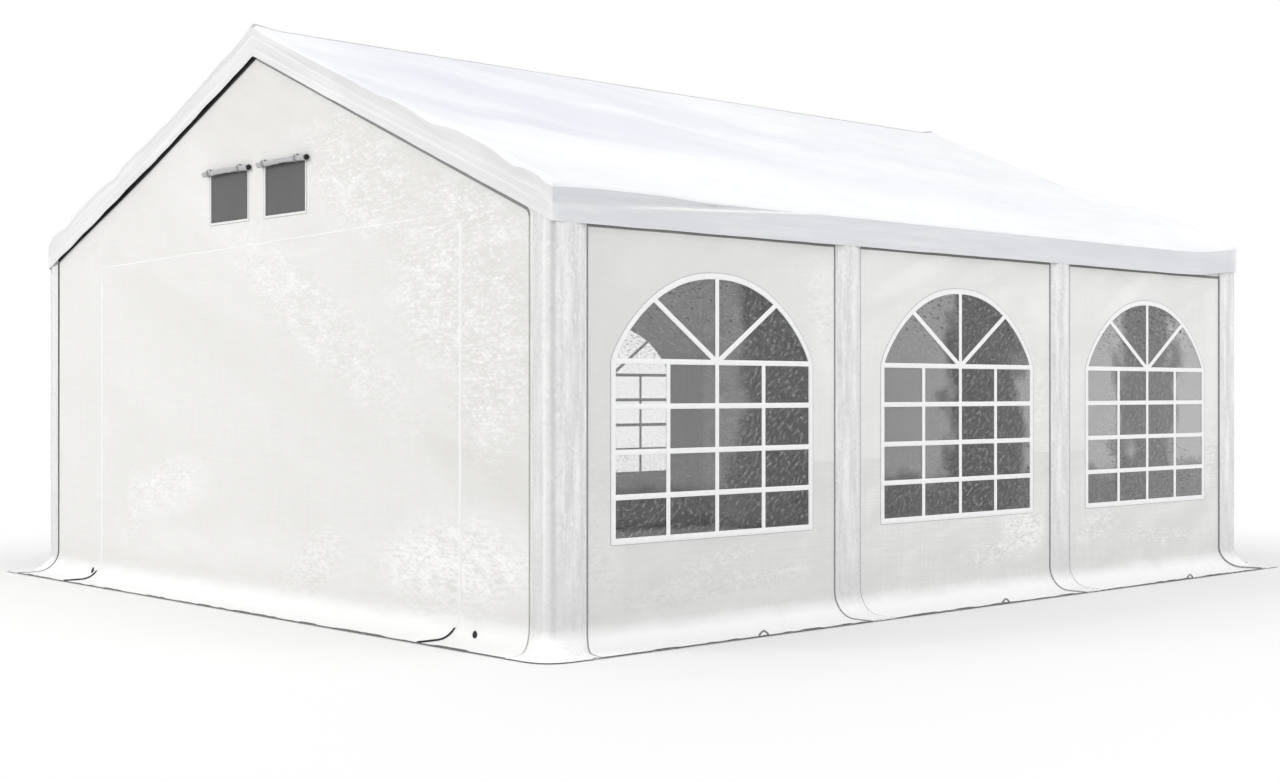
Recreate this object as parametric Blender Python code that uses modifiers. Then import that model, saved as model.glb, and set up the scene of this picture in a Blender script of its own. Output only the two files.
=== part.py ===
"""Marquee tent: a white sheet-covered tube frame with a gable at each end, three window bays a side and a skirt."""

import math

import bmesh
import bpy
from mathutils import Matrix, Vector

# Driving dimensions, in metres
WIDTH = 5.30  # across the corner covers
LENGTH = 6.20
RIDGE = 3.29  # top of the roof sheet
EAVE = 2.165  # fold between roof and valance
VALANCE_DROP = 0.164  # height of the valance and of the band under each rake
BAY = 2.00  # pitch of the two middle portals
SHEET = 0.003  # every sheet, thicker than real cloth
CLEARANCE = 0.0003  # between pieces that touch
TUBE_RADIUS = 0.019
FOOT_SIDE = 0.10
FOOT_THICKNESS = 0.004
COVER_STAND_OFF = 0.020  # how far a post holds its cover off the wall
POST_COVER_WIDTH = 0.21
POST_COVER_FLAT = 0.07  # the part that lies on the post
CORNER_COVER_SIDE = 0.20  # along the side wall, from the outer corner
CORNER_COVER_END = 0.155  # along the gable, from the outer corner
SKIRT_REACH = 0.24  # beyond the corner covers
COVER_LIP = 0.005  # a cover's skirt beyond the wall's
FLARE_RADIUS = 0.14
FLARE_STEPS = 7
DOOR_WIDTH = 3.84
DOOR_HEIGHT = 2.055
VENT_WIDTH = 0.41
VENT_HEIGHT = 0.285
VENT_BOTTOM = 2.205
VENT_OFFSET = 0.305  # from the gable's middle to a vent's
ROLL_LENGTH = 0.50
ROLL_RADIUS = 0.0165
ROLL_HEIGHT = 2.513
WINDOW_HALF_WIDTH = 0.685
WINDOW_BOTTOM = 0.508
WINDOW_SPRING = 1.361
WINDOW_RISE = 0.42
WINDOW_PITCH = 2.00
ARCH_STEPS = 20
FILM_THICKNESS = 0.002
FILM_LAP = 0.025  # of a window film or vent screen behind the edge of its opening

# Worked out from them
COVER_DEPTH = COVER_STAND_OFF + CLEARANCE + SHEET
SIDE_FACE = WIDTH / 2 - COVER_DEPTH  # outer face of the side walls
END_FACE = LENGTH / 2 - COVER_DEPTH
POST_X = SIDE_FACE + COVER_STAND_OFF - TUBE_RADIUS
END_PORTAL_Y = END_FACE + COVER_STAND_OFF - TUBE_RADIUS
PORTAL_LINES = (-END_PORTAL_Y, -BAY / 2, BAY / 2, END_PORTAL_Y)
ROOF_HALF_WIDTH = WIDTH / 2 + CLEARANCE + SHEET
ROOF_HALF_LENGTH = LENGTH / 2 + CLEARANCE + SHEET
SLOPE = (RIDGE - EAVE) / ROOF_HALF_WIDTH
PITCH = math.atan(SLOPE)
SEAT = TUBE_RADIUS + CLEARANCE  # from a tube's axis to what it touches
TUBE_DROP = (SHEET + SEAT) / math.cos(PITCH)  # from the roof's top to the axis of a tube under it
EAVE_AXIS_Z = RIDGE - TUBE_DROP - SLOPE * POST_X
RIDGE_AXIS_Z = RIDGE - TUBE_DROP
WALL_TOP = EAVE_AXIS_Z - SEAT
COVER_TOP = WALL_TOP - 0.010
GABLE_TOP_DROP = TUBE_DROP + SEAT / math.cos(PITCH)
SKIRT_END = COVER_DEPTH + SKIRT_REACH  # from a wall's outer face
CUT_DEPTH = 2.0  # a cutter's size where it only has to be large

# Place and turn of each side. In a side's own frame X runs along the wall and -Y points out of the tent.
SIDES = {
    "front": (Vector((0, -END_FACE, 0)), 0.0),
    "right": (Vector((SIDE_FACE, 0, 0)), math.pi / 2),
    "back": (Vector((0, END_FACE, 0)), math.pi),
    "left": (Vector((-SIDE_FACE, 0, 0)), -math.pi / 2),
}


def clear_scene():
    for obj in list(bpy.data.objects):
        bpy.data.objects.remove(obj, do_unlink=True)


def new_collection(name):
    collection = bpy.data.collections.new(name)
    bpy.context.scene.collection.children.link(collection)
    return collection


def new_material(name, color, roughness, metallic=0.0, alpha=1.0):
    material = bpy.data.materials.new(name)
    material.use_nodes = True
    shader = material.node_tree.nodes["Principled BSDF"]
    shader.inputs["Base Color"].default_value = (*color, 1.0)
    shader.inputs["Roughness"].default_value = roughness
    shader.inputs["Metallic"].default_value = metallic
    shader.inputs["Alpha"].default_value = alpha
    return material


clear_scene()
TENT = new_collection("marquee_tent")
CUTTERS = new_collection("cutters")
ROOF_SHEET = new_material("roof_sheet", (0.88, 0.89, 0.91), 0.45)
WALL_SHEET = new_material("wall_sheet", (0.84, 0.83, 0.81), 0.40)
COVER_SHEET = new_material("cover_sheet", (0.87, 0.88, 0.89), 0.38)
CLEAR_FILM = new_material("clear_film", (0.16, 0.17, 0.18), 0.12, alpha=0.45)
VENT_MESH = new_material("vent_mesh", (0.13, 0.13, 0.14), 0.7)
GALVANISED_TUBE = new_material("galvanised_tube", (0.55, 0.57, 0.58), 0.35, metallic=1.0)


def add_object(name, mesh, collection, material=None):
    obj = bpy.data.objects.new(name, mesh)
    collection.objects.link(obj)
    if material:
        mesh.materials.clear()
        mesh.materials.append(material)
    if collection is CUTTERS:
        obj.hide_render = True
        obj.display_type = "WIRE"
    return obj


def mesh_of(build):
    """The mesh made from a bmesh, which this frees."""
    mesh = bpy.data.meshes.new("shape")
    build.to_mesh(mesh)
    build.free()
    return mesh


def baked_curve(obj):
    """A welded mesh of a curve object, which this removes."""
    evaluated = obj.evaluated_get(bpy.context.evaluated_depsgraph_get())
    mesh = bpy.data.meshes.new_from_object(evaluated)
    build = bmesh.new()
    build.from_mesh(mesh)
    bmesh.ops.remove_doubles(build, verts=build.verts, dist=1e-5)
    bmesh.ops.triangulate(build, faces=build.faces)
    build.to_mesh(mesh)
    build.free()
    bpy.data.objects.remove(obj, do_unlink=True)
    return mesh


def put_on_side(obj, side):
    obj.location, obj.rotation_euler.z = SIDES[side]


def face_outwards(build, outwards):
    """Turns all faces of an open sheet so that as a whole they look along `outwards`."""
    bmesh.ops.recalc_face_normals(build, faces=build.faces)
    build.normal_update()
    if sum(face.calc_area() * face.normal.dot(outwards) for face in build.faces) < 0:
        bmesh.ops.reverse_faces(build, faces=build.faces)


def thicken(obj, offset):
    """Gives a sheet its thickness: inwards at offset -1, outwards at 1."""
    solidify = obj.modifiers.new("thickness", "SOLIDIFY")
    solidify.thickness = SHEET
    solidify.offset = offset
    solidify.solidify_mode = "NON_MANIFOLD"
    solidify.nonmanifold_thickness_mode = "CONSTRAINTS"
    obj.modifiers.new("facets", "TRIANGULATE")


def cut(obj, cutter):
    boolean = obj.modifiers.new(cutter.name, "BOOLEAN")
    boolean.operation = "DIFFERENCE"
    boolean.object = cutter


def upright_plate(name, points, thickness, y, collection, material=None):
    """A flat plate from an outline in X and Z, centred on the plane at y."""
    curve = bpy.data.curves.new(name, "CURVE")
    curve.dimensions = "2D"
    curve.fill_mode = "BOTH"
    curve.extrude = thickness / 2
    spline = curve.splines.new("POLY")
    spline.points.add(len(points) - 1)
    for spot, (x, z) in zip(spline.points, points):
        spot.co = (x, z, 0, 1)
    spline.use_cyclic_u = True
    outline = add_object(name, curve, CUTTERS)
    mesh = baked_curve(outline)
    mesh.transform(Matrix.Translation((0, y, 0)) @ Matrix.Rotation(math.pi / 2, 4, "X"))
    return add_object(name, mesh, collection, material)


def box_cutter(name, low, high):
    build = bmesh.new()
    bmesh.ops.create_cube(build, size=1.0)
    low, high = Vector(low), Vector(high)
    size = Matrix.Diagonal((*(high - low), 1.0))
    build.transform(Matrix.Translation((low + high) / 2) @ size)
    return add_object(name, mesh_of(build), CUTTERS)


def flare(top):
    """The outer face of a wall and its skirt from the top down, as steps (outwards, z, normal)."""
    steps = [(0.0, top, Vector((1, 0)))]
    for i in range(FLARE_STEPS + 1):
        angle = math.pi / 2 * i / FLARE_STEPS
        normal = Vector((math.cos(angle), math.sin(angle)))
        steps.append((FLARE_RADIUS * (1 - normal.x), SHEET + FLARE_RADIUS * (1 - normal.y), normal))
    steps.append((SKIRT_END, SHEET, Vector((0, 1))))
    return steps


def wall_sheet(name, side, start, end, top):
    """A wall with its skirt, from start to end along its side."""
    build = bmesh.new()
    corners = [build.verts.new((start, -outwards, z)) for outwards, z, _ in flare(top)]
    edges = [build.edges.new(pair) for pair in zip(corners, corners[1:])]
    run = bmesh.ops.extrude_edge_only(build, edges=edges)["geom"]
    far = [item for item in run if isinstance(item, bmesh.types.BMVert)]
    bmesh.ops.translate(build, verts=far, vec=(end - start, 0, 0))
    face_outwards(build, Vector((0, -1, 0)))
    obj = add_object(name, mesh_of(build), TENT, WALL_SHEET)
    put_on_side(obj, side)
    thicken(obj, -1)
    return obj


def window_outline(middle, margin=0.0):
    """An arched window's outline, from its lower left corner round to the arch."""
    half = WINDOW_HALF_WIDTH + margin
    rise = WINDOW_RISE + margin
    bottom = WINDOW_BOTTOM - margin
    points = [(middle - half, bottom), (middle + half, bottom)]
    for i in range(ARCH_STEPS + 1):
        angle = math.pi * i / ARCH_STEPS
        points.append((middle + half * math.cos(angle), WINDOW_SPRING + rise * math.sin(angle)))
    return points


def side_bay(side, number, start, end, middle):
    """A side wall between two posts, with its window cut through and the film behind it."""
    wall = wall_sheet(f"{side}_wall_{number}", side, start, end, WALL_TOP)
    window = upright_plate(f"{side}_window_cut_{number}", window_outline(middle), CUT_DEPTH, 0, CUTTERS)
    put_on_side(window, side)
    cut(wall, window)
    behind = SHEET + CLEARANCE + FILM_THICKNESS / 2
    film = upright_plate(
        f"{side}_window_film_{number}", window_outline(middle, FILM_LAP), FILM_THICKNESS, behind, TENT, CLEAR_FILM
    )
    put_on_side(film, side)


def side_walls(side):
    """The three bays of one side, numbered from the front gable back."""
    turn = 1 if side == "right" else -1
    for number, (near, far) in enumerate(zip(PORTAL_LINES, PORTAL_LINES[1:]), start=1):
        ends = sorted((turn * (near + SEAT), turn * (far - SEAT)))
        side_bay(side, number, *ends, turn * WINDOW_PITCH * (number - 2))


def rake_height(x, drop):
    """The height of a line `drop` below the roof's top, at x across the gable."""
    return RIDGE - drop - SLOPE * abs(x)


def vent(side, number, middle):
    """A mesh screen behind a gable's vent, and its cover rolled up above."""
    half = VENT_WIDTH / 2 + FILM_LAP
    low = VENT_BOTTOM - FILM_LAP
    high = VENT_BOTTOM + VENT_HEIGHT + FILM_LAP
    outline = [(middle - half, low), (middle + half, low), (middle + half, high), (middle - half, high)]
    behind = SHEET + CLEARANCE + FILM_THICKNESS / 2
    screen = upright_plate(
        f"{side}_vent_screen_{number}", outline, FILM_THICKNESS, behind, TENT, VENT_MESH
    )
    put_on_side(screen, side)
    build = bmesh.new()
    bmesh.ops.create_cone(
        build, cap_ends=True, segments=14, radius1=ROLL_RADIUS, radius2=ROLL_RADIUS, depth=ROLL_LENGTH
    )
    seat = (middle, -CLEARANCE - ROLL_RADIUS, ROLL_HEIGHT)
    build.transform(Matrix.Translation(seat) @ Matrix.Rotation(math.pi / 2, 4, "Y"))
    mesh = mesh_of(build)
    mesh.shade_smooth()
    mesh.set_sharp_from_angle(angle=math.radians(40))
    roll = add_object(f"{side}_vent_roll_{number}", mesh, TENT, COVER_SHEET)
    put_on_side(roll, side)


def gable(side):
    """A gable wall with its door and vent openings, the zipped door sheet and the vents."""
    half = POST_X - SEAT
    wall = wall_sheet(f"{side}_gable_wall", side, -half, half, RIDGE)
    above = [(-WIDTH, rake_height(WIDTH, GABLE_TOP_DROP)), (0, rake_height(0, GABLE_TOP_DROP))]
    above += [(WIDTH, rake_height(WIDTH, GABLE_TOP_DROP)), (WIDTH, 2 * RIDGE), (-WIDTH, 2 * RIDGE)]
    above_rake = upright_plate(f"{side}_rake_cut", above, CUT_DEPTH, 0, CUTTERS)
    door_half = DOOR_WIDTH / 2
    door_way = box_cutter(
        f"{side}_door_cut", (-door_half, -CUT_DEPTH, -CUT_DEPTH), (door_half, CUT_DEPTH, DOOR_HEIGHT)
    )
    vent_ways = []
    for number, middle in enumerate((-VENT_OFFSET, VENT_OFFSET), start=1):
        low = (middle - VENT_WIDTH / 2, -CUT_DEPTH, VENT_BOTTOM)
        high = (middle + VENT_WIDTH / 2, CUT_DEPTH, VENT_BOTTOM + VENT_HEIGHT)
        vent_ways.append(box_cutter(f"{side}_vent_cut_{number}", low, high))
        vent(side, number, middle)
    for cutter in (above_rake, door_way, *vent_ways):
        put_on_side(cutter, side)
        cut(wall, cutter)
    door_edge = door_half - CLEARANCE
    wall_sheet(f"{side}_door_sheet", side, -door_edge, door_edge, DOOR_HEIGHT - CLEARANCE)


def cover_sheet(name, stations):
    """A cover lofted down the wall and out along the skirt. A station is (place, outwards, stand-off)."""
    build = bmesh.new()
    profile = flare(COVER_TOP)
    profile[-1] = (SKIRT_END + COVER_LIP, *profile[-1][1:])
    rows = []
    for outwards, z, normal in profile:
        row = []
        for place, direction, stand_off in stations:
            lift = CLEARANCE + stand_off * normal.x
            spot = place + direction * (outwards + lift * normal.x)
            row.append(build.verts.new((spot.x, spot.y, z + lift * normal.y)))
        rows.append(row)
    for upper, lower in zip(rows, rows[1:]):
        for i in range(len(stations) - 1):
            build.faces.new((upper[i], upper[i + 1], lower[i + 1], lower[i]))
    first = stations[0][1]
    face_outwards(build, Vector((first.x, first.y, 0)))
    obj = add_object(name, mesh_of(build), TENT, COVER_SHEET)
    thicken(obj, 1)


def post_cover(name, turn, y):
    """The cover over a middle post, on the side that `turn` gives."""
    out = Vector((turn, 0))
    spread = ((-POST_COVER_WIDTH / 2, 0), (-POST_COVER_FLAT / 2, COVER_STAND_OFF))
    spread += ((POST_COVER_FLAT / 2, COVER_STAND_OFF), (POST_COVER_WIDTH / 2, 0))
    cover_sheet(name, [(Vector((turn * SIDE_FACE, y + dy)), out, lift) for dy, lift in spread])


def corner_cover(name, turn_x, turn_y):
    """The cover round a corner post, at the corner that the two signs give."""
    flat = POST_COVER_FLAT / 2
    side = Vector((turn_x, 0))
    end = Vector((0, turn_y))
    stations = [
        (turn_x * SIDE_FACE, turn_y * (LENGTH / 2 - CORNER_COVER_SIDE), side, 0.0),
        (turn_x * SIDE_FACE, turn_y * (END_PORTAL_Y - flat), side, COVER_STAND_OFF),
        (turn_x * SIDE_FACE, turn_y * END_FACE, side + end, COVER_STAND_OFF),
        (turn_x * (POST_X - flat), turn_y * END_FACE, end, COVER_STAND_OFF),
        (turn_x * (WIDTH / 2 - CORNER_COVER_END), turn_y * END_FACE, end, 0.0),
    ]
    cover_sheet(name, [(Vector((x, y)), out, lift) for x, y, out, lift in stations])


def roof_cover():
    """The roof sheet in one piece, with a valance over each eave and a band over each rake."""
    build = bmesh.new()
    low = EAVE - VALANCE_DROP
    section = [(-ROOF_HALF_WIDTH, low), (-ROOF_HALF_WIDTH, EAVE), (0, RIDGE)]
    section += [(ROOF_HALF_WIDTH, EAVE), (ROOF_HALF_WIDTH, low)]
    corners = [build.verts.new((x, -ROOF_HALF_LENGTH, z)) for x, z in section]
    edges = [build.edges.new(pair) for pair in zip(corners, corners[1:])]
    run = bmesh.ops.extrude_edge_only(build, edges=edges)["geom"]
    far = [item for item in run if isinstance(item, bmesh.types.BMVert)]
    bmesh.ops.translate(build, verts=far, vec=(0, 2 * ROOF_HALF_LENGTH, 0))
    rakes = [e for e in build.edges if len(e.link_faces) == 1 and all(v.co.z > low + 1e-4 for v in e.verts)]
    bands = bmesh.ops.extrude_edge_only(build, edges=rakes)["geom"]
    hem = [item for item in bands if isinstance(item, bmesh.types.BMVert)]
    bmesh.ops.translate(build, verts=hem, vec=(0, 0, -VALANCE_DROP))
    bmesh.ops.remove_doubles(build, verts=build.verts, dist=1e-5)
    face_outwards(build, Vector((0, 0, 1)))
    thicken(add_object("roof_cover", mesh_of(build), TENT, ROOF_SHEET), -1)


def portal(number, y):
    """Two posts on foot plates and the two rafters they carry, mitred into one tube."""
    feet = [Vector((turn * POST_X, y, FOOT_THICKNESS / 2)) for turn in (-1, 1)]
    eaves = [Vector((turn * POST_X, y, EAVE_AXIS_Z)) for turn in (-1, 1)]
    apex = Vector((0, y, RIDGE_AXIS_Z))
    route = [feet[0], eaves[0], apex, eaves[1], feet[1]]
    curve = bpy.data.curves.new("portal", "CURVE")
    curve.dimensions = "3D"
    curve.bevel_depth = TUBE_RADIUS
    curve.bevel_resolution = 4
    curve.use_fill_caps = True
    spline = curve.splines.new("POLY")
    spline.points.add(len(route) - 1)
    for spot, place in zip(spline.points, route):
        spot.co = (*place, 1)
    mesh = baked_curve(add_object("portal", curve, CUTTERS))
    mesh.shade_smooth()
    mesh.set_sharp_from_angle(angle=math.radians(40))
    obj = add_object(f"frame_portal_{number}", mesh, TENT, GALVANISED_TUBE)
    for foot, where in zip(feet, ("left", "right")):
        corner = Vector((FOOT_SIDE / 2, FOOT_SIDE / 2, FOOT_THICKNESS / 2))
        plate = box_cutter(f"{where}_foot_{number}", foot - corner, foot + corner)
        union = obj.modifiers.new(plate.name, "BOOLEAN")
        union.operation = "UNION"
        union.object = plate


def long_tube(name, x, z, near, far):
    """A straight tube along the tent, between two portals."""
    build = bmesh.new()
    bmesh.ops.create_cone(
        build, cap_ends=True, segments=12, radius1=TUBE_RADIUS, radius2=TUBE_RADIUS, depth=far - near
    )
    build.transform(Matrix.Rotation(math.pi / 2, 4, "X"))
    mesh = mesh_of(build)
    mesh.shade_smooth()
    mesh.set_sharp_from_angle(angle=math.radians(40))
    tube = add_object(name, mesh, TENT, GALVANISED_TUBE)
    tube.location = (x, (near + far) / 2, z)


def tube_frame():
    for number, y in enumerate(PORTAL_LINES, start=1):
        portal(number, y)
    for number, (near, far) in enumerate(zip(PORTAL_LINES, PORTAL_LINES[1:]), start=1):
        ends = (near + SEAT, far - SEAT)
        long_tube(f"ridge_tube_{number}", 0, RIDGE_AXIS_Z, *ends)
        long_tube(f"left_eave_tube_{number}", -POST_X, EAVE_AXIS_Z, *ends)
        long_tube(f"right_eave_tube_{number}", POST_X, EAVE_AXIS_Z, *ends)


def covers():
    for side, turn_x in (("left", -1), ("right", 1)):
        for number, y in enumerate(PORTAL_LINES[1:-1], start=1):
            post_cover(f"{side}_post_cover_{number}", turn_x, y)
        for end, turn_y in (("front", -1), ("back", 1)):
            corner_cover(f"{end}_{side}_corner_cover", turn_x, turn_y)


tube_frame()
for side_name in ("left", "right"):
    side_walls(side_name)
for end_name in ("front", "back"):
    gable(end_name)
covers()
roof_cover()
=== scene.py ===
import math

import bmesh
import bpy
import numpy as np
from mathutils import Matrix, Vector, geometry


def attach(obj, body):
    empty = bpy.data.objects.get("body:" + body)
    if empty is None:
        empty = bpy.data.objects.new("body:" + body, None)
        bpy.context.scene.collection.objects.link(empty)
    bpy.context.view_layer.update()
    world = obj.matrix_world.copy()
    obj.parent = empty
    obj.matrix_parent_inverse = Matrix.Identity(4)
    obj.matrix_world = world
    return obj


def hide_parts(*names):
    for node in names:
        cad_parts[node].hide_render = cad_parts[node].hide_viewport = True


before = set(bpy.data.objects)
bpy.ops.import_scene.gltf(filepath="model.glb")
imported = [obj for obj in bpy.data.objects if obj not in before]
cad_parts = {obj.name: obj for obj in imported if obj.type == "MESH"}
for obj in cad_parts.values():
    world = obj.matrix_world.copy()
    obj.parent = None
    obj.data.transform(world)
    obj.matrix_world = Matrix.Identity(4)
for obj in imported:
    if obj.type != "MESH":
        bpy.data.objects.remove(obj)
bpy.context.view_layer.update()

print("frame loaded")

# Sizes the solids have, in metres
tent = {
    "sideFace": 2.6267,  # outer face of the side walls
    "endFace": 3.0767,  # outer face of the gable walls
    "halfWidth": 2.65,  # over the post covers
    "halfLength": 3.10,
    "roofHalfWidth": 2.6533,
    "roofHalfLength": 3.1033,
    "ridge": 3.29,
    "eave": 2.165,
    "bandDrop": 0.164,  # valance and rake bands
    "wallTop": 2.1323,
    "coverTop": 2.1223,
    "gableDrop": 0.0452,  # from the roof down to the gable wall's edge
    "wallEnd": 0.0193,  # from a post's middle to the wall's end
    "flareRadius": 0.14,
    "flareTop": 0.143,
    "skirtReach": 0.2633,
    "skirtLift": 0.003,  # outer face of the skirt above the ground
    "lines": (-3.0777, -1.0, 1.0, 3.0777),  # portals
    "bay": 2.0,  # from window to window
    "doorHalf": 1.92,
    "doorTop": 2.055,
}
slope = (tent["ridge"] - tent["eave"]) / tent["roofHalfWidth"]
skirtEdge = tent["flareTop"] - tent["flareRadius"] * (math.pi / 2 - 1) - tent["skirtReach"]

sides = {  # corner of each side's own frame and its turn; X runs along the wall, -Y points out
    "front": ((0.0, -tent["endFace"]), 0.0),
    "right": ((tent["sideFace"], 0.0), math.pi / 2),
    "back": ((0.0, tent["endFace"]), math.pi),
    "left": ((-tent["sideFace"], 0.0), -math.pi / 2),
}
outwards = {"right": 1, "left": -1, "front": -1, "back": 1}  # along X for the side walls, along Y for the gables

tentCollection = bpy.data.collections.new("tent")
studioCollection = bpy.data.collections.new("studio")
for collection in (tentCollection, studioCollection):
    bpy.context.scene.collection.children.link(collection)


# Numbers

def smoothStep(x, low, high):
    t = np.clip((x - low) / (high - low), 0, 1)
    return t * t * (3 - 2 * t)


def bell(x, half, power=2):
    return np.exp(-((x / half) ** power))


noiseCells = 64  # the noise repeats after as many
noiseShift = (31.7, 17.3)


def gradientNoise(u, v, seed):
    angles = np.random.default_rng(seed).random((noiseCells, noiseCells)) * 2 * math.pi
    gradientU, gradientV = np.cos(angles), np.sin(angles)
    u, v = (np.asarray(part, float) + shift for part, shift in zip((u, v), noiseShift))
    cellU, cellV = np.floor(u).astype(int), np.floor(v).astype(int)
    fracU, fracV = u - cellU, v - cellV

    def corner(stepU, stepV):
        at = ((cellU + stepU) % noiseCells, (cellV + stepV) % noiseCells)
        return gradientU[at] * (fracU - stepU) + gradientV[at] * (fracV - stepV)

    easeU = fracU**3 * (fracU * (fracU * 6 - 15) + 10)
    easeV = fracV**3 * (fracV * (fracV * 6 - 15) + 10)
    near = corner(0, 0) + easeU * (corner(1, 0) - corner(0, 0))
    far = corner(0, 1) + easeU * (corner(1, 1) - corner(0, 1))
    return 2 * (near + easeV * (far - near))


def folds(u, v, length, width, turn, seed):
    angle = math.radians(turn)
    along = u * math.cos(angle) + v * math.sin(angle)
    across = v * math.cos(angle) - u * math.sin(angle)
    return gradientNoise(along / length, across / width, seed)


def sharpFolds(u, v, length, width, turn, seed):
    return np.clip(1 - np.abs(folds(u, v, length, width, turn, seed)) * 3.2, 0, 1) ** 2


def layered(shape, u, v, layers, seed):
    # layers are (length, width, turn, share, step from the seed)
    return sum(share * shape(u, v, length, width, turn, seed + step) for length, width, turn, share, step in layers)


def distanceTo(points, line, closed):
    nearest = np.full(len(points), 1e9)
    ends = np.roll(line, -1, axis=0) if closed else line[1:]
    for start, end in zip(line, ends):
        run = end - start
        t = np.clip((points - start) @ run / max(run @ run, 1e-12), 0, 1)
        gap = points - start - t[:, None] * run
        nearest = np.minimum(nearest, np.einsum("ij,ij->i", gap, gap))
    return np.sqrt(nearest)


def insideLoops(points, loops):
    crossings = np.zeros(len(points), int)
    u, v = points.T
    for loop in loops:
        for (startU, startV), (endU, endV) in zip(loop, np.roll(loop, -1, axis=0)):
            if startV == endV:
                continue
            between = (startV > v) != (endV > v)
            crossings += between & (u < startU + (v - startV) * (endU - startU) / (endV - startV))
    return crossings % 2 == 1


def divideLoop(loop, step):
    points = []
    for start, end in zip(loop, np.roll(loop, -1, axis=0)):
        pieces = max(1, math.ceil(np.linalg.norm(end - start) / step))
        points += [start + (end - start) * i / pieces for i in range(pieces)]
    return np.array(points)


# Surfaces

def flatPanel(outline, holes, step):
    loops = [divideLoop(np.array(loop, float), step) for loop in (outline, *holes)]
    low, high = loops[0].min(axis=0), loops[0].max(axis=0)
    grid = []
    for number, v in enumerate(np.arange(low[1] + step / 2, high[1], step * 0.87)):
        us = np.arange(low[0] + step * (0.5 + number % 2 / 2), high[0], step)
        grid.append(np.column_stack((us, np.full(len(us), v))))
    grid = np.vstack(grid)
    grid = grid[insideLoops(grid, loops)]
    for loop in loops:
        grid = grid[distanceTo(grid, loop, True) > step * 0.45]
    edges, start = [], 0
    for loop in loops:
        count = len(loop)
        edges += [(start + i, start + (i + 1) % count) for i in range(count)]
        start += count
    spots = [Vector(spot) for spot in np.vstack((*loops, grid))]
    found = geometry.delaunay_2d_cdt(spots, edges, [], 0, 1e-7)
    points = np.array([tuple(spot) for spot in found[0]])
    faces = np.array(found[2])
    faces = faces[insideLoops(points[faces].mean(axis=1), loops)]
    a, b, c = (points[faces[:, i]] for i in range(3))
    turn = (b[:, 0] - a[:, 0]) * (c[:, 1] - a[:, 1]) - (b[:, 1] - a[:, 1]) * (c[:, 0] - a[:, 0])
    faces[turn < 0] = faces[turn < 0][:, ::-1]
    return points, faces, float(np.abs(turn).sum() / 2)


def gridFaces(rows, columns):
    at = np.arange(rows * columns).reshape(rows, columns)
    a, b, c, d = at[:-1, :-1].ravel(), at[:-1, 1:].ravel(), at[1:, 1:].ravel(), at[1:, :-1].ravel()
    return np.vstack((np.column_stack((a, b, c)), np.column_stack((a, c, d))))


def surfaceNormals(points, faces):
    a, b, c = (points[faces[:, i]] for i in range(3))
    faceNormals = np.cross(b - a, c - a)
    normals = np.zeros_like(points)
    for i in range(3):
        np.add.at(normals, faces[:, i], faceNormals)
    return normals / np.maximum(np.linalg.norm(normals, axis=1, keepdims=True), 1e-12)


def newPiece(name, mesh):
    piece = bpy.data.objects.new(name, mesh)
    tentCollection.objects.link(piece)
    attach(piece, "root")
    return piece


cloths = {  # thickness, finish outside and inside, material slot
    "wall": (0.0022, "wallSheet", "shadedInsideSheet", "wall_sheet"),
    "gable": (0.0022, "gableSheet", "shadedInsideSheet", "wall_sheet"),
    "film": (0.0012, "clearFilm", "clearFilm", "clear_film"),
    "net": (0.0010, "ventNet", "ventNet", "vent_mesh"),
    "roll": (0.0007, "rolledCoverShaded", "rolledCoverShaded", "cover_sheet"),
    "cover": (0.0016, "coverSheet", "shadedInsideSheet", "cover_sheet"),
    "roof": (0.0020, "roofSheet", "shadedInsideSheet", "roof_sheet"),
}
sheetSharp = 50  # degrees; steeper edges are sharp


def thickSheet(name, node, cloth, points, faces, pattern, **sheet):
    thickness, outside, inside, slot = cloths[cloth]
    normals, count = surfaceNormals(points, faces), len(points)
    edges = np.concatenate((faces[:, [0, 1]], faces[:, [1, 2]], faces[:, [2, 0]]))
    key = edges.min(axis=1) * count + edges.max(axis=1)
    _, first, times = np.unique(key, return_index=True, return_counts=True)
    a, b = edges[first[times == 1]].T
    rim = np.vstack((np.column_stack((b, a, a + count)), np.column_stack((b, a + count, b + count))))
    allFaces = np.vstack((faces, faces[:, ::-1] + count, rim))
    mesh = bpy.data.meshes.new(name)
    mesh.from_pydata(np.vstack((points, points - normals * thickness)).tolist(), [], allFaces.tolist())
    for finish in (outside, inside):
        mesh.materials.append(finishes[finish])
    layer = np.zeros(len(allFaces), np.int32)
    layer[len(faces):2 * len(faces)] = 1
    mesh.polygons.foreach_set("material_index", layer)
    corners = np.empty(len(mesh.loops), np.int32)
    mesh.loops.foreach_get("vertex_index", corners)
    mesh.uv_layers.new(name="cut").data.foreach_set("uv", np.vstack((pattern, pattern))[corners].ravel())
    mesh.shade_smooth()
    mesh.set_sharp_from_angle(angle=math.radians(sheetSharp))
    piece = newPiece(name, mesh)
    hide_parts(node)
    return piece


def toSide(points, side):
    (cornerX, cornerY), angle = sides[side]
    x, y, z = points.T
    turnedX = cornerX + x * math.cos(angle) - y * math.sin(angle)
    turnedY = cornerY + x * math.sin(angle) + y * math.cos(angle)
    return np.column_stack((turnedX, turnedY, z))


def downTheWall(v):
    # out from the wall's face, height, and the outer face's normal; below the bend v runs on along the skirt
    radius = tent["flareRadius"]
    along = np.maximum(tent["flareTop"] - v, 0)
    angle = np.minimum(along / radius, math.pi / 2)
    out = radius * (1 - np.cos(angle)) + np.maximum(along - radius * math.pi / 2, 0)
    z = np.where(along > 0, tent["skirtLift"] + radius * (1 - np.sin(angle)), v)
    return out, z, np.cos(angle), np.sin(angle)


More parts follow.
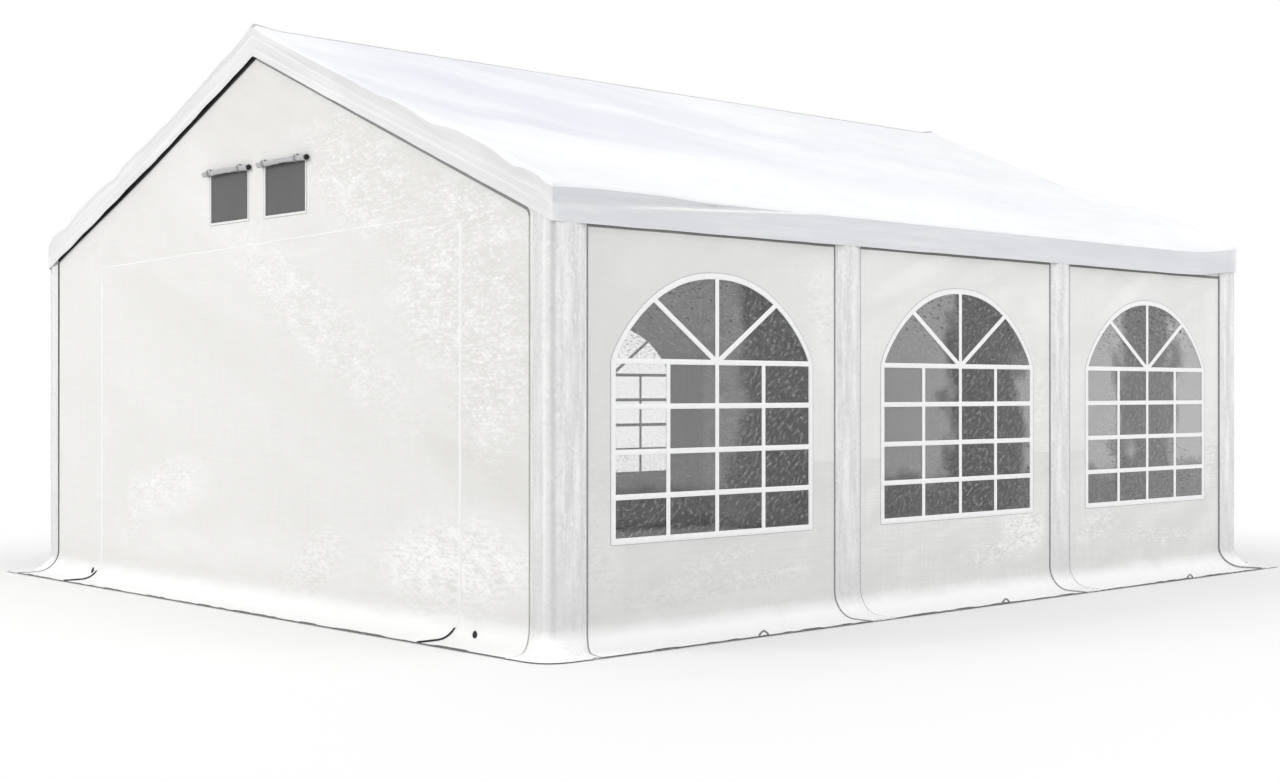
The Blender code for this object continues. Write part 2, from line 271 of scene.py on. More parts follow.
wallLook = {  # heights in metres; folds are length, width, turn in degrees, share and step from the seed
    "step": 0.031,
    "swell": 0.0075, "swellSize": (1.15, 0.95),  # slow in and out of a taut sheet
    # slanting folds
    "drape": 0.0042, "drapes": ((1.5, 0.30, 64, 1.0, 1), (1.2, 0.22, -57, 0.9, 2), (0.5, 0.12, 35, 0.5, 7)),
    "crease": 0.0022, "creases": ((2.2, 0.55, 4, 1.0, 3), (1.8, 0.7, 94, 0.8, 4)),  # fold lines left from packing
    "ripple": 0.0065, "ripples": ((0.8, 0.13, 88, 1.0, 5), (0.4, 0.06, 80, 0.5, 8)),  # standing, above the skirt
    "band": 0.0030, "bands": ((0.34, 0.045, 3, 1.0, 6),),  # crinkles along the bend
    "holdWidth": 0.13,  # how far from a seam the sheet is still flat
}


def wallRelief(u, v, seed):
    look = wallLook
    swellU, swellV = look["swellSize"]
    lift = gradientNoise(u / swellU, v / swellV, seed) * look["swell"]
    lift += layered(folds, u, v, look["drapes"], seed) * look["drape"]
    lift += layered(sharpFolds, u, v, look["creases"], seed) * look["crease"]
    lift *= smoothStep(v, -0.02, 0.45)
    lift += layered(folds, u, v, look["ripples"], seed) * look["ripple"] * (1 - smoothStep(v, 0.10, 0.75))
    lift += layered(folds, u, v, look["bands"], seed) * look["band"] * bell(v - 0.17, 0.10)
    onGround = 1 - smoothStep(v, -0.10, -0.03)
    return lift * (1 - onGround) + np.clip(lift + 0.0012, 0, 0.0045) * onGround


def uprights(places):
    # lines from the ground to above the ridge
    return [np.array([(x, -1.0), (x, 3.5)]) for x in places]


def wallSurface(side, loops, lines, seed):
    # the sheet is flat inside the loops and along the lines
    def place(u, v, w=0.0):
        u, v = np.asarray(u, float), np.asarray(v, float)
        flat = np.column_stack((u, v))
        calm = np.ones(len(flat))
        for held, closed in [(loop, True) for loop in loops] + [(line, False) for line in lines]:
            calm *= smoothStep(distanceTo(flat, held, closed), 0.0, wallLook["holdWidth"])
        calm[insideLoops(flat, loops)] = 0
        out, z, normalOut, normalUp = downTheWall(v)
        lift = wallRelief(u, v, seed) * calm
        # the skirt stays off the ground
        ground = np.where(normalUp > 0.3, (0.0024 - z) / np.maximum(normalUp, 0.3), -1.0)
        lift = np.maximum(lift, ground) + w
        return toSide(np.column_stack((u, -(out + lift * normalOut), z + lift * normalUp)), side)

    return place


# Node trees for materials. The helpers find the tree from the sockets that they are given

def isSocket(value):
    return isinstance(value, bpy.types.NodeSocket)


def treeOf(*values):
    return next(value.id_data for value in values if isSocket(value))


def connect(node, links):
    for name, value in links.items():
        if isSocket(value):
            node.id_data.links.new(value, node.inputs[name])
        else:
            node.inputs[name].default_value = value
    return node


def addNode(tree, kind, links=None, **values):
    node = tree.nodes.new(kind)
    for key, value in values.items():
        setattr(node, key, value)
    return connect(node, links or {})


def startMaterial(name):
    material = bpy.data.materials.new(name)
    material.use_nodes = True
    tree = material.node_tree
    coordinates = addNode(tree, "ShaderNodeTexCoord").outputs
    return material, tree.nodes["Principled BSDF"], coordinates["UV"], coordinates["Object"]


def mixed(factor, first, second):
    first, second = (part if isSocket(part) else (*part, 1.0) for part in (first, second))
    links = {0: factor, 6: first, 7: second}
    return addNode(treeOf(factor, first, second), "ShaderNodeMix", links, data_type="RGBA").outputs[2]


def ranged(value, low, high, toLow=0.0, toHigh=1.0, ease="LINEAR"):
    links = {"Value": value, "From Min": low, "From Max": high, "To Min": toLow, "To Max": toHigh}
    return addNode(treeOf(value), "ShaderNodeMapRange", links, interpolation_type=ease).outputs[0]


def calculated(operation, first, second=0.0):
    return addNode(treeOf(first, second), "ShaderNodeMath", {0: first, 1: second}, operation=operation).outputs[0]


def product(*factors):
    total = factors[0]
    for factor in factors[1:]:
        total = calculated("MULTIPLY", total, factor)
    return total


def split(vector):
    return addNode(treeOf(vector), "ShaderNodeSeparateXYZ", {0: vector}).outputs


def noiseNode(coordinates, scale, detail=3.0, roughness=0.5):
    links = {"Vector": coordinates, "Scale": scale, "Detail": detail, "Roughness": roughness}
    return addNode(treeOf(coordinates), "ShaderNodeTexNoise", links).outputs["Fac"]


def bumpNode(height, strength, distance, under=None):
    links = {"Height": height, "Strength": strength, "Distance": distance}
    if under is not None:
        links["Normal"] = under
    return addNode(treeOf(height), "ShaderNodeBump", links).outputs[0]


def laid(pattern, along, across, turn=0.0, middle=(0.0, 0.0)):
    # the cut pattern from a middle, turned and stretched
    links = {"Vector": pattern, "Location": (*middle, 0.0), "Rotation": (0.0, 0.0, math.radians(turn)),
             "Scale": (along, across, 1.0)}
    return addNode(treeOf(pattern), "ShaderNodeMapping", links, vector_type="TEXTURE").outputs[0]


def laidNoise(pattern, along, across, turn=0.0, detail=2.0, roughness=0.5):
    return noiseNode(laid(pattern, along, across, turn), 1.0, detail, roughness)


def nearEllipses(pattern, ellipses):
    # the strongest ellipse's strength, fading to 0 round it
    most = 0.0
    for middle, halves, turn, strength in ellipses:
        near = laid(pattern, *halves, turn, middle)
        far = addNode(treeOf(near), "ShaderNodeVectorMath", {0: near}, operation="LENGTH").outputs["Value"]
        most = calculated("MAXIMUM", ranged(far, 0.3, 1.35, strength, 0.0, "SMOOTHSTEP"), most)
    return most


def threads(pattern, density, operation):
    # waves along and across the cloth, density in radians a metre
    fine = addNode(treeOf(pattern), "ShaderNodeMapping", {"Vector": pattern, "Scale": (density, density, 1.0)})
    return calculated(operation, *(calculated("SINE", axis) for axis in split(fine.outputs[0])[:2]))


# Sheets. Colours are linear; sizes and heights are in metres over the cut pattern, noises are (along, across,
# turn in degrees), and a patch, shadow or light is an ellipse's middle, half lengths, turn and strength.
# Pale turns to shade in broad clouds and in the fine grain. Dashes are the crumples, whose crests get painted
# highlights and whose hollows painted shade: sparkle says how much, crinkle how high they stand. Gloss is the
# roughness of the crests, then of the rest. Painted shadows, painted lights, painted glints in streaks and the
# painted light and shade of the mottle belong to the sheets that the photo shows close
sheetFinishes = {
    "roofSheet": {
        "pale": (0.958, 0.965, 0.975), "shade": (0.775, 0.787, 0.85), "lit": (0.985, 0.985, 0.985),
        "gloss": (0.34, 0.52), "cloud": (0.55, 2.8, -18), "cloudDepth": 0.26, "grain": ((0.1, 2.4), (0.9, 0.1)),
        "grainDepth": 0.12, "dashes": ((0.1, 0.45, 8), (0.12, 0.4, -9)), "crinkle": 0.0016, "sparkle": 0.1,
        "ridge": (1.0, (0.42, 0.42, 0.43)),
    },
    # the roof's sheet where it hangs down the eaves, painted darker and bluer as in shade
    "shadedValanceSheet": {
        "pale": (0.8, 0.805, 0.825), "shade": (0.7, 0.71, 0.74), "lit": (0.97, 0.97, 0.97),
        "gloss": (0.32, 0.48), "cloud": (0.12, 1.1, 0), "cloudDepth": 0.8, "grain": ((0.014, 1.6), (0.05, 0.5)),
        "grainDepth": 0.65, "dashes": ((0.02, 0.3, 2), (0.03, 0.2, -5)), "crinkle": 0.003, "sparkle": 0.45,
        "creased": (0.34, 0.95),
    },
    # the roof's sheet where it folds down the rakes, painted darker as in shade
    "shadedRakeSheet": {
        "pale": (0.83, 0.83, 0.833), "shade": (0.72, 0.722, 0.73), "lit": (0.95, 0.95, 0.95),
        "gloss": (0.32, 0.48), "cloud": (0.9, 0.1, 0), "cloudDepth": 0.8, "grain": ((1.6, 0.014), (0.5, 0.05)),
        "grainDepth": 0.65, "dashes": ((0.2, 0.016, 4), (0.16, 0.022, -8)), "crinkle": 0.003, "sparkle": 0.5,
        "creased": (0.5, 0.6),
    },
    # the gable's copy of the side walls' cloth, painted darker than theirs to set the light on each face
    "gableSheet": {
        "pale": (0.815, 0.813, 0.798), "shade": (0.735, 0.731, 0.712), "lit": (0.97, 0.968, 0.96),
        "gloss": (0.3, 0.46), "cloud": (1.5, 0.45, -24), "cloudDepth": 0.26,
        "grain": ((0.4, 0.008), (0.01, 0.4)), "grainDepth": 0.36,
        "dashes": ((0.044, 0.018, 28), (0.044, 0.018, -30)), "streaks": (0.095, 0.016, 1),
        "mottle": (0.22, 0.1, -20, 0.65), "crinkle": 0.004, "sparkle": 0.85, "foot": (0.98, 0.045, 0.115),
        "patches": (
            ((0.62, 1.6), (1.25, 0.26), -30, 0.7), ((1.05, 2.35), (0.66, 0.34), -24, 0.85),
            ((1.8, 1.72), (0.55, 0.46), -28, 1.0), ((2.14, 1.42), (0.36, 0.62), 0, 1.0),
            ((2.02, 2.08), (0.55, 0.18), -24, 0.9), ((0.62, 0.28), (0.36, 0.17), 28, 0.9),
            ((1.85, 0.34), (0.7, 0.27), 4, 1.0), ((-1.05, 0.64), (0.5, 0.17), 14, 0.7),
            ((-1.45, 0.52), (0.1, 0.3), 0, 0.6),
        ),
        "shadows": (
            ((-0.1, 1.42), (2.2, 0.17), -19, 0.34), ((2.1, 0.86), (0.75, 0.19), -16, 1.0),
            ((2.02, 2.12), (0.66, 0.22), -24, 1.0), ((1.15, 2.44), (0.95, 0.3), -24, 1.0),
            ((1.45, 1.92), (0.42, 0.1), -30, 0.6), ((1.24, 0.36), (0.06, 0.34), -38, 0.45),
            ((0.0, 2.95), (0.75, 0.42), 0, 1.0), ((2.2, 1.5), (0.5, 0.8), 0, 0.85),
        ),
        "lights": (
            ((1.85, 0.33), (0.75, 0.28), 4, 0.72), ((-1.0, 0.62), (0.5, 0.2), 12, 0.35),
            ((0.2, 0.2), (2.6, 0.24), 0, 0.3), ((-0.15, 2.05), (0.75, 0.16), -30, 0.22),
        ),
    },
    # the side walls' copy of the cloth, painted lighter than the gable's to set the light on each face
    "wallSheet": {
        "pale": (0.865, 0.863, 0.85), "shade": (0.725, 0.722, 0.71), "lit": (0.98, 0.975, 0.965),
        "gloss": (0.3, 0.46), "cloud": (0.62, 0.2, 24), "cloudDepth": 0.7, "grain": ((0.4, 0.009), (0.011, 0.4)),
        "grainDepth": 0.62, "dashes": ((0.042, 0.017, 30), (0.038, 0.017, -32)), "streaks": (0.07, 0.016, 0),
        "mottle": (0.15, 0.09, 12, 0.75), "crinkle": 0.004, "sparkle": 1.0, "foot": (1.0, 0.045, 0.115),
        "foldLine": (0.845, 0.26), "nearFront": 0.8,
        "patches": (
            ((0.62, 0.37), (0.24, 0.15), 0, 1.0), ((0.3, 0.26), (0.36, 0.09), 6, 0.8),
            ((1.42, 0.36), (0.28, 0.1), 14, 0.8), ((-2.1, 0.23), (0.95, 0.07), 3, 1.0),
            ((-2.79, 0.95), (0.08, 0.5), 0, 1.0), ((-2.79, 0.38), (0.1, 0.24), 20, 1.0),
            ((-1.21, 1.66), (0.14, 0.3), 12, 0.8), ((-2.05, 0.36), (0.45, 0.08), 10, 0.7),
            ((0.8, 1.2), (0.08, 0.44), 0, 0.7), ((2.8, 0.8), (0.12, 0.26), 0, 0.8),
            ((2.2, 0.26), (0.6, 0.07), -4, 0.7),
        ),
        "shadows": (
            ((-1.55, 1.93), (0.62, 0.06), 16, 0.9), ((-2.66, 1.35), (0.13, 0.42), -12, 0.7),
            ((0.5, 1.9), (0.6, 0.05), 15, 0.9), ((2.5, 1.84), (0.5, 0.05), 20, 0.9),
            ((-1.26, 0.7), (0.1, 0.34), 14, 0.7), ((2.3, 0.34), (0.5, 0.07), 10, 0.5),
            ((-0.7, 1.7), (0.3, 0.06), 28, 0.8), ((1.42, 1.62), (0.28, 0.07), 34, 0.7),
            ((-2.0, 0.48), (0.9, 0.05), -2, 0.5),
        ),
        "lights": (
            ((0.62, 0.37), (0.24, 0.16), 0, 1.0), ((-2.79, 0.42), (0.14, 0.3), 10, 1.0),
            ((-1.16, 1.58), (0.16, 0.46), 8, 0.75), ((-0.45, 1.86), (0.38, 0.07), 20, 0.8),
            ((1.7, 1.8), (0.38, 0.07), 26, 0.8), ((-2.55, 1.82), (0.28, 0.1), 30, 0.6),
            ((0.8, 1.7), (0.16, 0.22), 20, 0.6), ((-2.05, 0.16), (0.8, 0.05), 2, 0.5),
            ((2.82, 1.55), (0.1, 0.4), 0, 0.6),
        ),
    },
    "coverSheet": {
        "pale": (0.93, 0.93, 0.93), "shade": (0.7, 0.7, 0.702), "lit": (0.995, 0.995, 0.995),
        "gloss": (0.22, 0.4), "cloud": (0.06, 0.5, 0), "cloudDepth": 0.85, "grain": ((0.012, 0.6), (0.03, 0.25)),
        "grainDepth": 0.5, "dashes": ((0.013, 0.028, 14), (0.014, 0.034, -16)), "crinkle": 0.006,
        "sparkle": 0.85, "patches": None, "foot": (1.0, 0.05, 0.115), "low": 0.4, "ends": 0.52,
        "creased": (0.3, 0.55),
    },
    # the sheets' inner faces, the same cloth painted darker as in shade
    "shadedInsideSheet": {
        "pale": (0.66, 0.66, 0.66), "shade": (0.57, 0.57, 0.575), "lit": (0.72, 0.72, 0.72),
        "gloss": (0.45, 0.62), "cloud": (0.8, 1.0, 0), "cloudDepth": 0.8, "grain": ((0.4, 0.01), (0.012, 0.4)),
        "grainDepth": 0.3, "dashes": ((0.06, 0.02, 15), (0.05, 0.02, -20)), "crinkle": 0.002, "sparkle": 0.2,
    },
}
wovenDensity = 1570.0  # radians a metre: threads 4 mm apart


def patchMask(pattern, patches):
    # 1 inside the crumpled patches, with broken edges; patches of None means anywhere
    broken = laidNoise(pattern, 0.15, 0.09, -20, 3.0, 0.65)
    if patches is None:
        return ranged(broken, 0.42, 0.62)
    inside = calculated("ADD", nearEllipses(pattern, patches), product(broken, 0.8))
    return ranged(inside, 0.45, 1.40, 0.06, 1.0, "SMOOTHSTEP")


def shadedAndLit(colour, finish, pattern):
    uneven = ranged(laidNoise(pattern, 0.5, 0.12, -20, 3.0), 0.35, 0.6, 0.55, 1.0)
    for patches, tone in (("shadows", "shade"), ("lights", "lit")):
        colour = mixed(product(nearEllipses(pattern, finish[patches]), uneven), colour, finish[tone])
    return colour


def mottledLightAndShade(colour, finish, pattern, patch):
    # painted light and painted shade: slack parts of the sheet lie towards the light and away from it
    *size, depth = finish["mottle"]
    mottle = laidNoise(pattern, *size, 3.0, 0.6)
    colour = mixed(product(ranged(mottle, 0.52, 0.32, 0.0, depth), patch), colour, finish["shade"])
    return mixed(product(ranged(mottle, 0.50, 0.72, 0.0, depth), patch), colour, finish["lit"])


def foldLine(colour, finish, pattern, axes):
    # a fold left from packing, level round the wall: painted shade below it and a painted highlight along it
    level, depth = finish["foldLine"]
    up = calculated("ADD", split(pattern)[1], product(laidNoise(pattern, 0.5, 0.5), 0.03))
    colour = mixed(ranged(up, level - 0.17, level + 0.015, 0.0, depth), colour, finish["shade"])
    return mixed(ranged(up, level + 0.015, level + 0.018), colour, mixed(0.30, colour, finish["lit"]))


def shadedTowardsFront(colour, finish, pattern, axes):
    # painted shade: the side walls darker towards the front
    return mixed(ranged(axes[1], -3.1, -0.8, finish["nearFront"], 0.0), colour, finish["shade"])


def shadedCoverEnds(colour, finish, pattern, axes):
    # painted shade on the parts of the corner covers on the gables, and on the covers of the left side,
    # as faces turned from the light
    onGable = ranged(calculated("ABSOLUTE", axes[1]), 3.080, 3.094)
    colour = mixed(product(onGable, ranged(axes[0], -2.0, 2.0, 1.0, finish["ends"])), colour, finish["shade"])
    return mixed(ranged(axes[0], -2.62, -2.45, 1.0, 0.0), colour, finish["shade"])


def ridgeShadeStreaks(colour, finish, pattern, axes):
    # painted shade in greyer streaks below the ridge, and a dark line along the ridge
    strength, seam = finish["ridge"]
    fromRidge = calculated("ABSOLUTE", axes[0])
    reach = ranged(axes[1], -3.0, 3.0, 1.58, 2.45)
    upper = ranged(calculated("DIVIDE", fromRidge, reach), 0.78, 1.08, strength, 0.06, "SMOOTHSTEP")
    apex = calculated("MAXIMUM", ranged(fromRidge, 0.25, 0.60, 0.1, 1.0), ranged(axes[1], -2.9, -2.4))
    upper = product(upper, apex, ranged(axes[1], -2.0, 2.6, 1.0, 0.20))
    streaks = laidNoise(pattern, 0.50, 2.6, -20, 2.5, 0.55)
    colour = mixed(product(upper, ranged(streaks, 0.34, 0.60, 0.22, 1.0)), colour, finish["shade"])
    return mixed(ranged(fromRidge, 0.020, 0.030, 0.8, 0.0), colour, seam)


def creases(colour, finish, pattern, axes):
    # slack over 0 is a hollow painted in its own shade, under 0 a fold's crest with a painted highlight
    slack = addNode(treeOf(pattern), "ShaderNodeAttribute", attribute_name="slack").outputs["Fac"]
    sunken, raised = finish["creased"]
    deep = tuple(0.82 * part for part in finish["shade"])
    colour = mixed(ranged(slack, 0.0, 1.0, 0.0, sunken), colour, deep)
    return mixed(ranged(slack, 0.0, -1.0, 0.0, raised), colour, finish["lit"])


def shadedLow(colour, finish, pattern, axes):
    # painted shade: darker towards the bottom
    return mixed(ranged(axes[2], 0.16, 0.60, finish["low"], 0.0), colour, finish["shade"])


def litFootShadedAbove(colour, finish, pattern, axes):
    # painted light: the bend and the skirt lie to the light and are painted whiter, with painted shade just above
    # them; tone, and the heights where it is full and where it ends
    tone, full, none = finish["foot"]
    low = calculated("ADD", axes[2], product(laidNoise(pattern, 0.25, 0.12), 0.05))
    above = product(ranged(low, none + 0.01, none + 0.06), ranged(low, 0.18, 0.34, 0.35, 0.0))
    colour = mixed(above, colour, finish["shade"])
    return mixed(ranged(low, full + 0.025, none + 0.025, 1.0, 0.0), colour, (tone,) * 3)


sheetLayers = {  # from the lowest up, each used where a finish has its key
    "foldLine": foldLine, "nearFront": shadedTowardsFront, "ends": shadedCoverEnds, "ridge": ridgeShadeStreaks,
    "creased": creases, "low": shadedLow, "foot": litFootShadedAbove,
}


def sheetMaterial(name):
    finish = sheetFinishes[name]
    pale, shade, lit = finish["pale"], finish["shade"], finish["lit"]
    material, shader, pattern, place = startMaterial(name)
    axes = split(place)
    grain = calculated("ADD", *(laidNoise(pattern, *size, 0.0, 2.0, 0.55) for size in finish["grain"]))
    crumples = [laidNoise(pattern, *size, 2.0, 0.55) for size in finish["dashes"]]
    crest, crumpled = calculated("MAXIMUM", *crumples), calculated("ADD", *crumples)
    patch = patchMask(pattern, finish.get("patches", ()))
    cloud = laidNoise(pattern, *finish["cloud"], 3.0)
    colour = mixed(ranged(cloud, 0.36, 0.64, 0.0, finish["cloudDepth"]), pale, shade)
    colour = mixed(ranged(grain, 0.82, 1.18, 0.0, finish["grainDepth"]), colour, shade)
    if "mottle" in finish:
        colour = mottledLightAndShade(shadedAndLit(colour, finish, pattern), finish, pattern, patch)
        # painted glints in streaks, where wrinkles catch the light
        streak = laidNoise(pattern, *finish["streaks"])
        weave = product(calculated("ADD", product(streak, 1.2), crumpled), 1 / 3.2)
        gleam, hollow = ranged(weave, 0.49, 0.63), ranged(weave, 0.51, 0.39)
    else:
        gleam, hollow = ranged(crest, 0.54, 0.67), ranged(crumpled, 0.98, 0.80, 0.0, 0.8)
    # painted highlights on the crumples' crests and painted shade in their hollows, inside the patches
    gleam, hollow = (product(part, patch, finish["sparkle"]) for part in (gleam, hollow))
    colour = mixed(gleam, mixed(hollow, colour, shade), lit)
    for key, layer in sheetLayers.items():
        if key in finish:
            colour = layer(colour, finish, pattern, axes)
    smooth, rough = finish["gloss"]
    crumple = product(crumpled, ranged(patch, 0.0, 1.0, 0.25, 1.0))
    folded = bumpNode(calculated("ADD", crumple, product(grain, 0.3)), 0.6, finish["crinkle"])
    woven = threads(pattern, wovenDensity, "MULTIPLY")
    connect(shader, {"Base Color": colour, "Roughness": ranged(crest, 0.40, 0.70, rough, smooth),
                     "Normal": bumpNode(woven, 0.4, 0.0005, folded), "IOR": 1.5})
    return material


# Plain finishes: two linear colours, roughness, grain per metre, and the bump's height

plainFinishes = {
    "weldedWhite": ((0.95, 0.95, 0.95), (0.90, 0.905, 0.91), 0.38, 25.0),
    "whiteThread": ((0.85, 0.85, 0.85), (0.72, 0.73, 0.74), 0.6, 300.0),
    "paleSeam": ((0.96, 0.958, 0.95), (0.83, 0.828, 0.815), 0.4, 6.0),
    "paleBorder": ((0.83, 0.83, 0.825), (0.77, 0.77, 0.765), 0.4, 20.0),
    "zipNylon": ((0.95, 0.948, 0.94), (0.87, 0.868, 0.86), 0.32, 90.0),
    # painted shadow lines: these grey and black finishes colour strips and cords laid where shade falls, and one also
    # the ground hooks
    "palePiping": ((0.40, 0.40, 0.40), (0.50, 0.50, 0.50), 0.5, 60.0),
    "greyShadowLinesAndHooks": ((0.23, 0.23, 0.232), (0.31, 0.31, 0.312), 0.55, 60.0),
    "darkPiping": ((0.010, 0.010, 0.011), (0.020, 0.020, 0.021), 0.6, 60.0),
    "greyBinding": ((0.22, 0.22, 0.222), (0.29, 0.29, 0.292), 0.6, 60.0),
    "darkShadowLine": ((0.105, 0.105, 0.107), (0.145, 0.145, 0.147), 0.6, 60.0),
    "topBinding": ((0.20, 0.20, 0.197), (0.26, 0.26, 0.257), 0.6, 60.0),
    # the vent's rolled-up cover, painted grey as the shade it lies in
    "rolledCoverShaded": ((0.38, 0.385, 0.39), (0.50, 0.505, 0.51), 0.5, 55.0, 0.001),
    "strapWebbing": ((0.27, 0.27, 0.275), (0.36, 0.36, 0.365), 0.6, 220.0),
    "blackHole": ((0.012, 0.012, 0.012), (0.02, 0.02, 0.02), 0.8, 80.0),
}


def plainPlastic(name, pale, shade, roughness, scale, bump=0.0006):
    material, shader, _, place = startMaterial(name)
    grain = noiseNode(place, scale, 4.0, 0.6)
    connect(shader, {"Base Color": mixed(ranged(grain, 0.35, 0.65), pale, shade),
                     "Roughness": ranged(grain, 0.3, 0.7, roughness - 0.08, roughness + 0.08),
                     "Normal": bumpNode(grain, 0.4, bump)})
    return material


zincLook = {"dark": (0.52, 0.54, 0.56), "pale": (0.70, 0.72, 0.74), "dull": (0.44, 0.45, 0.46), "spangles": 85.0}


def galvanisedSteel():
    material, shader, _, place = startMaterial("galvanisedSteel")
    spangle = addNode(treeOf(place), "ShaderNodeTexVoronoi", {"Vector": place, "Scale": zincLook["spangles"]})
    tone = addNode(treeOf(place), "ShaderNodeSeparateColor", {0: spangle.outputs["Color"]}).outputs[0]
    cloud = noiseNode(place, 6.0, 4.0, 0.6)
    zinc = mixed(tone, zincLook["dark"], zincLook["pale"])
    connect(shader, {"Base Color": mixed(ranged(cloud, 0.45, 0.75, 0.0, 0.6), zinc, zincLook["dull"]),
                     "Roughness": ranged(tone, 0.0, 1.0, 0.30, 0.46), "Normal": bumpNode(cloud, 0.2, 0.0008),
                     "Metallic": 0.9})
    return material


filmLook = {
    # painted reflections: hazy light at the sides, light crests and dark troughs of the waves
    "hazyReflection": (0.97, 0.97, 0.97), "clear": (0.20, 0.20, 0.20), "crest": (0.62, 0.62, 0.62), "darkReflection": (0.01, 0.01, 0.01),
    "opacity": 0.100, "crestOpacity": 0.13, "reflectionOpacity": 0.24, "troughOpacity": 0.34, "roughness": 0.07,
    "height": 0.006,
    # where the waves lie over a window's width, and half how wide, from the first bay to the last
    "wavesAt": (0.80, 0.50), "wavesHalf": (0.22, 0.15),
    # from one height to another, and the waves' strength at each
    "foot": (0.84, 0.93, 0.85, 0.0), "crown": (1.66, 1.80, 0.0, 0.8),
    "troughsBelow": (0.95, 1.15, 0.9, 0.35), "troughsAbove": (1.50, 1.70, 0.0, 1.0),
}


def filmMaterial():
    # clear film: smooth at its sides with a painted hazy reflection; along its middle and foot waved like wet glass,
    # with painted light crests and painted dark reflections in the troughs
    look = filmLook
    material, shader, pattern, _ = startMaterial("clearFilm")
    along, up, _ = split(pattern)
    slow = laidNoise(pattern, 0.22, 0.26)
    # 0.15 to 0.85 over each window's width, as the bays are 2 m apart
    across = calculated("FRACT", product(calculated("ADD", along, 9.0), 0.5))
    centre, half = (ranged(along, -2.0, 2.0, *look[key]) for key in ("wavesAt", "wavesHalf"))
    away = calculated("ABSOLUTE", calculated("SUBTRACT", across, centre))
    away = calculated("ADD", away, product(calculated("SUBTRACT", slow, 0.5), 0.35))
    away = calculated("SUBTRACT", away, half)
    wobble = calculated("ADD", up, product(slow, 0.3))
    lower = calculated("MAXIMUM", ranged(away, -0.02, 0.06, 1.0, 0.0), ranged(wobble, *look["foot"]))
    waved = calculated("MAXIMUM", lower, ranged(wobble, *look["crown"]))
    crests = laidNoise(pattern, 0.034, 0.018, 42, 3.0, 0.6)
    troughs = laidNoise(pattern, 0.042, 0.017, -16, 3.0, 0.6)
    crest = product(ranged(crests, 0.49, 0.66), waved)
    edge = ranged(calculated("ABSOLUTE", calculated("SUBTRACT", away, 0.03)), 0.02, 0.12, 1.0, 0.25)
    sunk = calculated("MAXIMUM", product(edge, ranged(wobble, *look["troughsBelow"])),
                      ranged(wobble, *look["troughsAbove"]))
    darkReflection = product(ranged(troughs, 0.51, 0.66), sunk)
    # the bays further back have more painted hazy reflection
    clearer = product(lower, ranged(along, -1.0, 2.6, 1.0, 0.55))
    base = mixed(clearer, look["hazyReflection"], look["clear"])
    opacity = calculated("ADD", product(crest, look["crestOpacity"]), look["opacity"])
    hazeReflection = product(calculated("SUBTRACT", 1.0, clearer), ranged(along, -1.4, 2.4, 0.0, look["reflectionOpacity"]))
    opacity = calculated("ADD", opacity, hazeReflection)
    connect(shader, {
        "Base Color": mixed(darkReflection, mixed(crest, base, look["crest"]), look["darkReflection"]),
        "Alpha": calculated("ADD", product(darkReflection, look["troughOpacity"]), opacity),
        "Normal": bumpNode(calculated("ADD", crests, troughs), 0.8, look["height"]),
        "Roughness": ranged(slow, 0.3, 0.7, look["roughness"] - 0.03, look["roughness"] + 0.05),
        "IOR": 1.9,
    })
    return material


netLook = {"dark": (0.100, 0.102, 0.104), "pale": (0.132, 0.134, 0.137), "between": (0.10, 0.10, 0.10),
           "density": 2400.0}  # radians a metre


def netMaterial():
    material, shader, pattern, place = startMaterial("ventNet")
    wires = threads(pattern, netLook["density"], "MAXIMUM")
    cloud = noiseNode(place, 5.0)
    dark = mixed(ranged(cloud, 0.35, 0.65), netLook["dark"], netLook["pale"])
    # painted shade: between the wires, the dark inside seen through the net
    shade = mixed(ranged(wires, -1.0, 1.0, 0.0, 0.45), netLook["between"], dark)
    connect(shader, {"Base Color": mixed(0.75, shade, dark), "Roughness": ranged(cloud, 0.3, 0.7, 0.6, 0.8),
                     "Normal": bumpNode(wires, 0.5, 0.0006)})
    return material


finishes = {name: sheetMaterial(name) for name in sheetFinishes}
finishes.update({name: plainPlastic(name, *values) for name, values in plainFinishes.items()})
finishes.update({"galvanisedSteel": galvanisedSteel(), "clearFilm": filmMaterial(), "ventNet": netMaterial()})
print("materials made")


# Geometry node trees for what follows a line

def startTree(name, sizes):
    tree = bpy.data.node_groups.new(name, "GeometryNodeTree")
    tree.interface.new_socket("Paths", in_out="INPUT", socket_type="NodeSocketGeometry")
    for label, value in sizes.items():
        tree.interface.new_socket(label, in_out="INPUT", socket_type="NodeSocketFloat").default_value = value
    tree.interface.new_socket("Finish", in_out="INPUT", socket_type="NodeSocketMaterial")
    tree.interface.new_socket("Mesh", in_out="OUTPUT", socket_type="NodeSocketGeometry")
    given = tree.nodes.new("NodeGroupInput").outputs
    curve = addNode(tree, "GeometryNodeMeshToCurve", {0: given["Paths"]}).outputs[0]
    upright = addNode(tree, "GeometryNodeSetCurveNormal", {"Curve": curve}, mode="Z_UP").outputs[0]
    return tree, given, upright


def endTree(tree, given, shape):
    real = addNode(tree, "GeometryNodeRealizeInstances", {0: shape}).outputs[0]
    painted = addNode(tree, "GeometryNodeSetMaterial", {"Geometry": real, "Material": given["Finish"]}).outputs[0]
    addNode(tree, "NodeGroupOutput", {"Mesh": painted})
    return tree


def sweptTree(tree, given, curve, section):
    links = {"Curve": curve, "Profile Curve": section.outputs[0], "Fill Caps": True}
    return endTree(tree, given, addNode(tree, "GeometryNodeCurveToMesh", links).outputs[0])


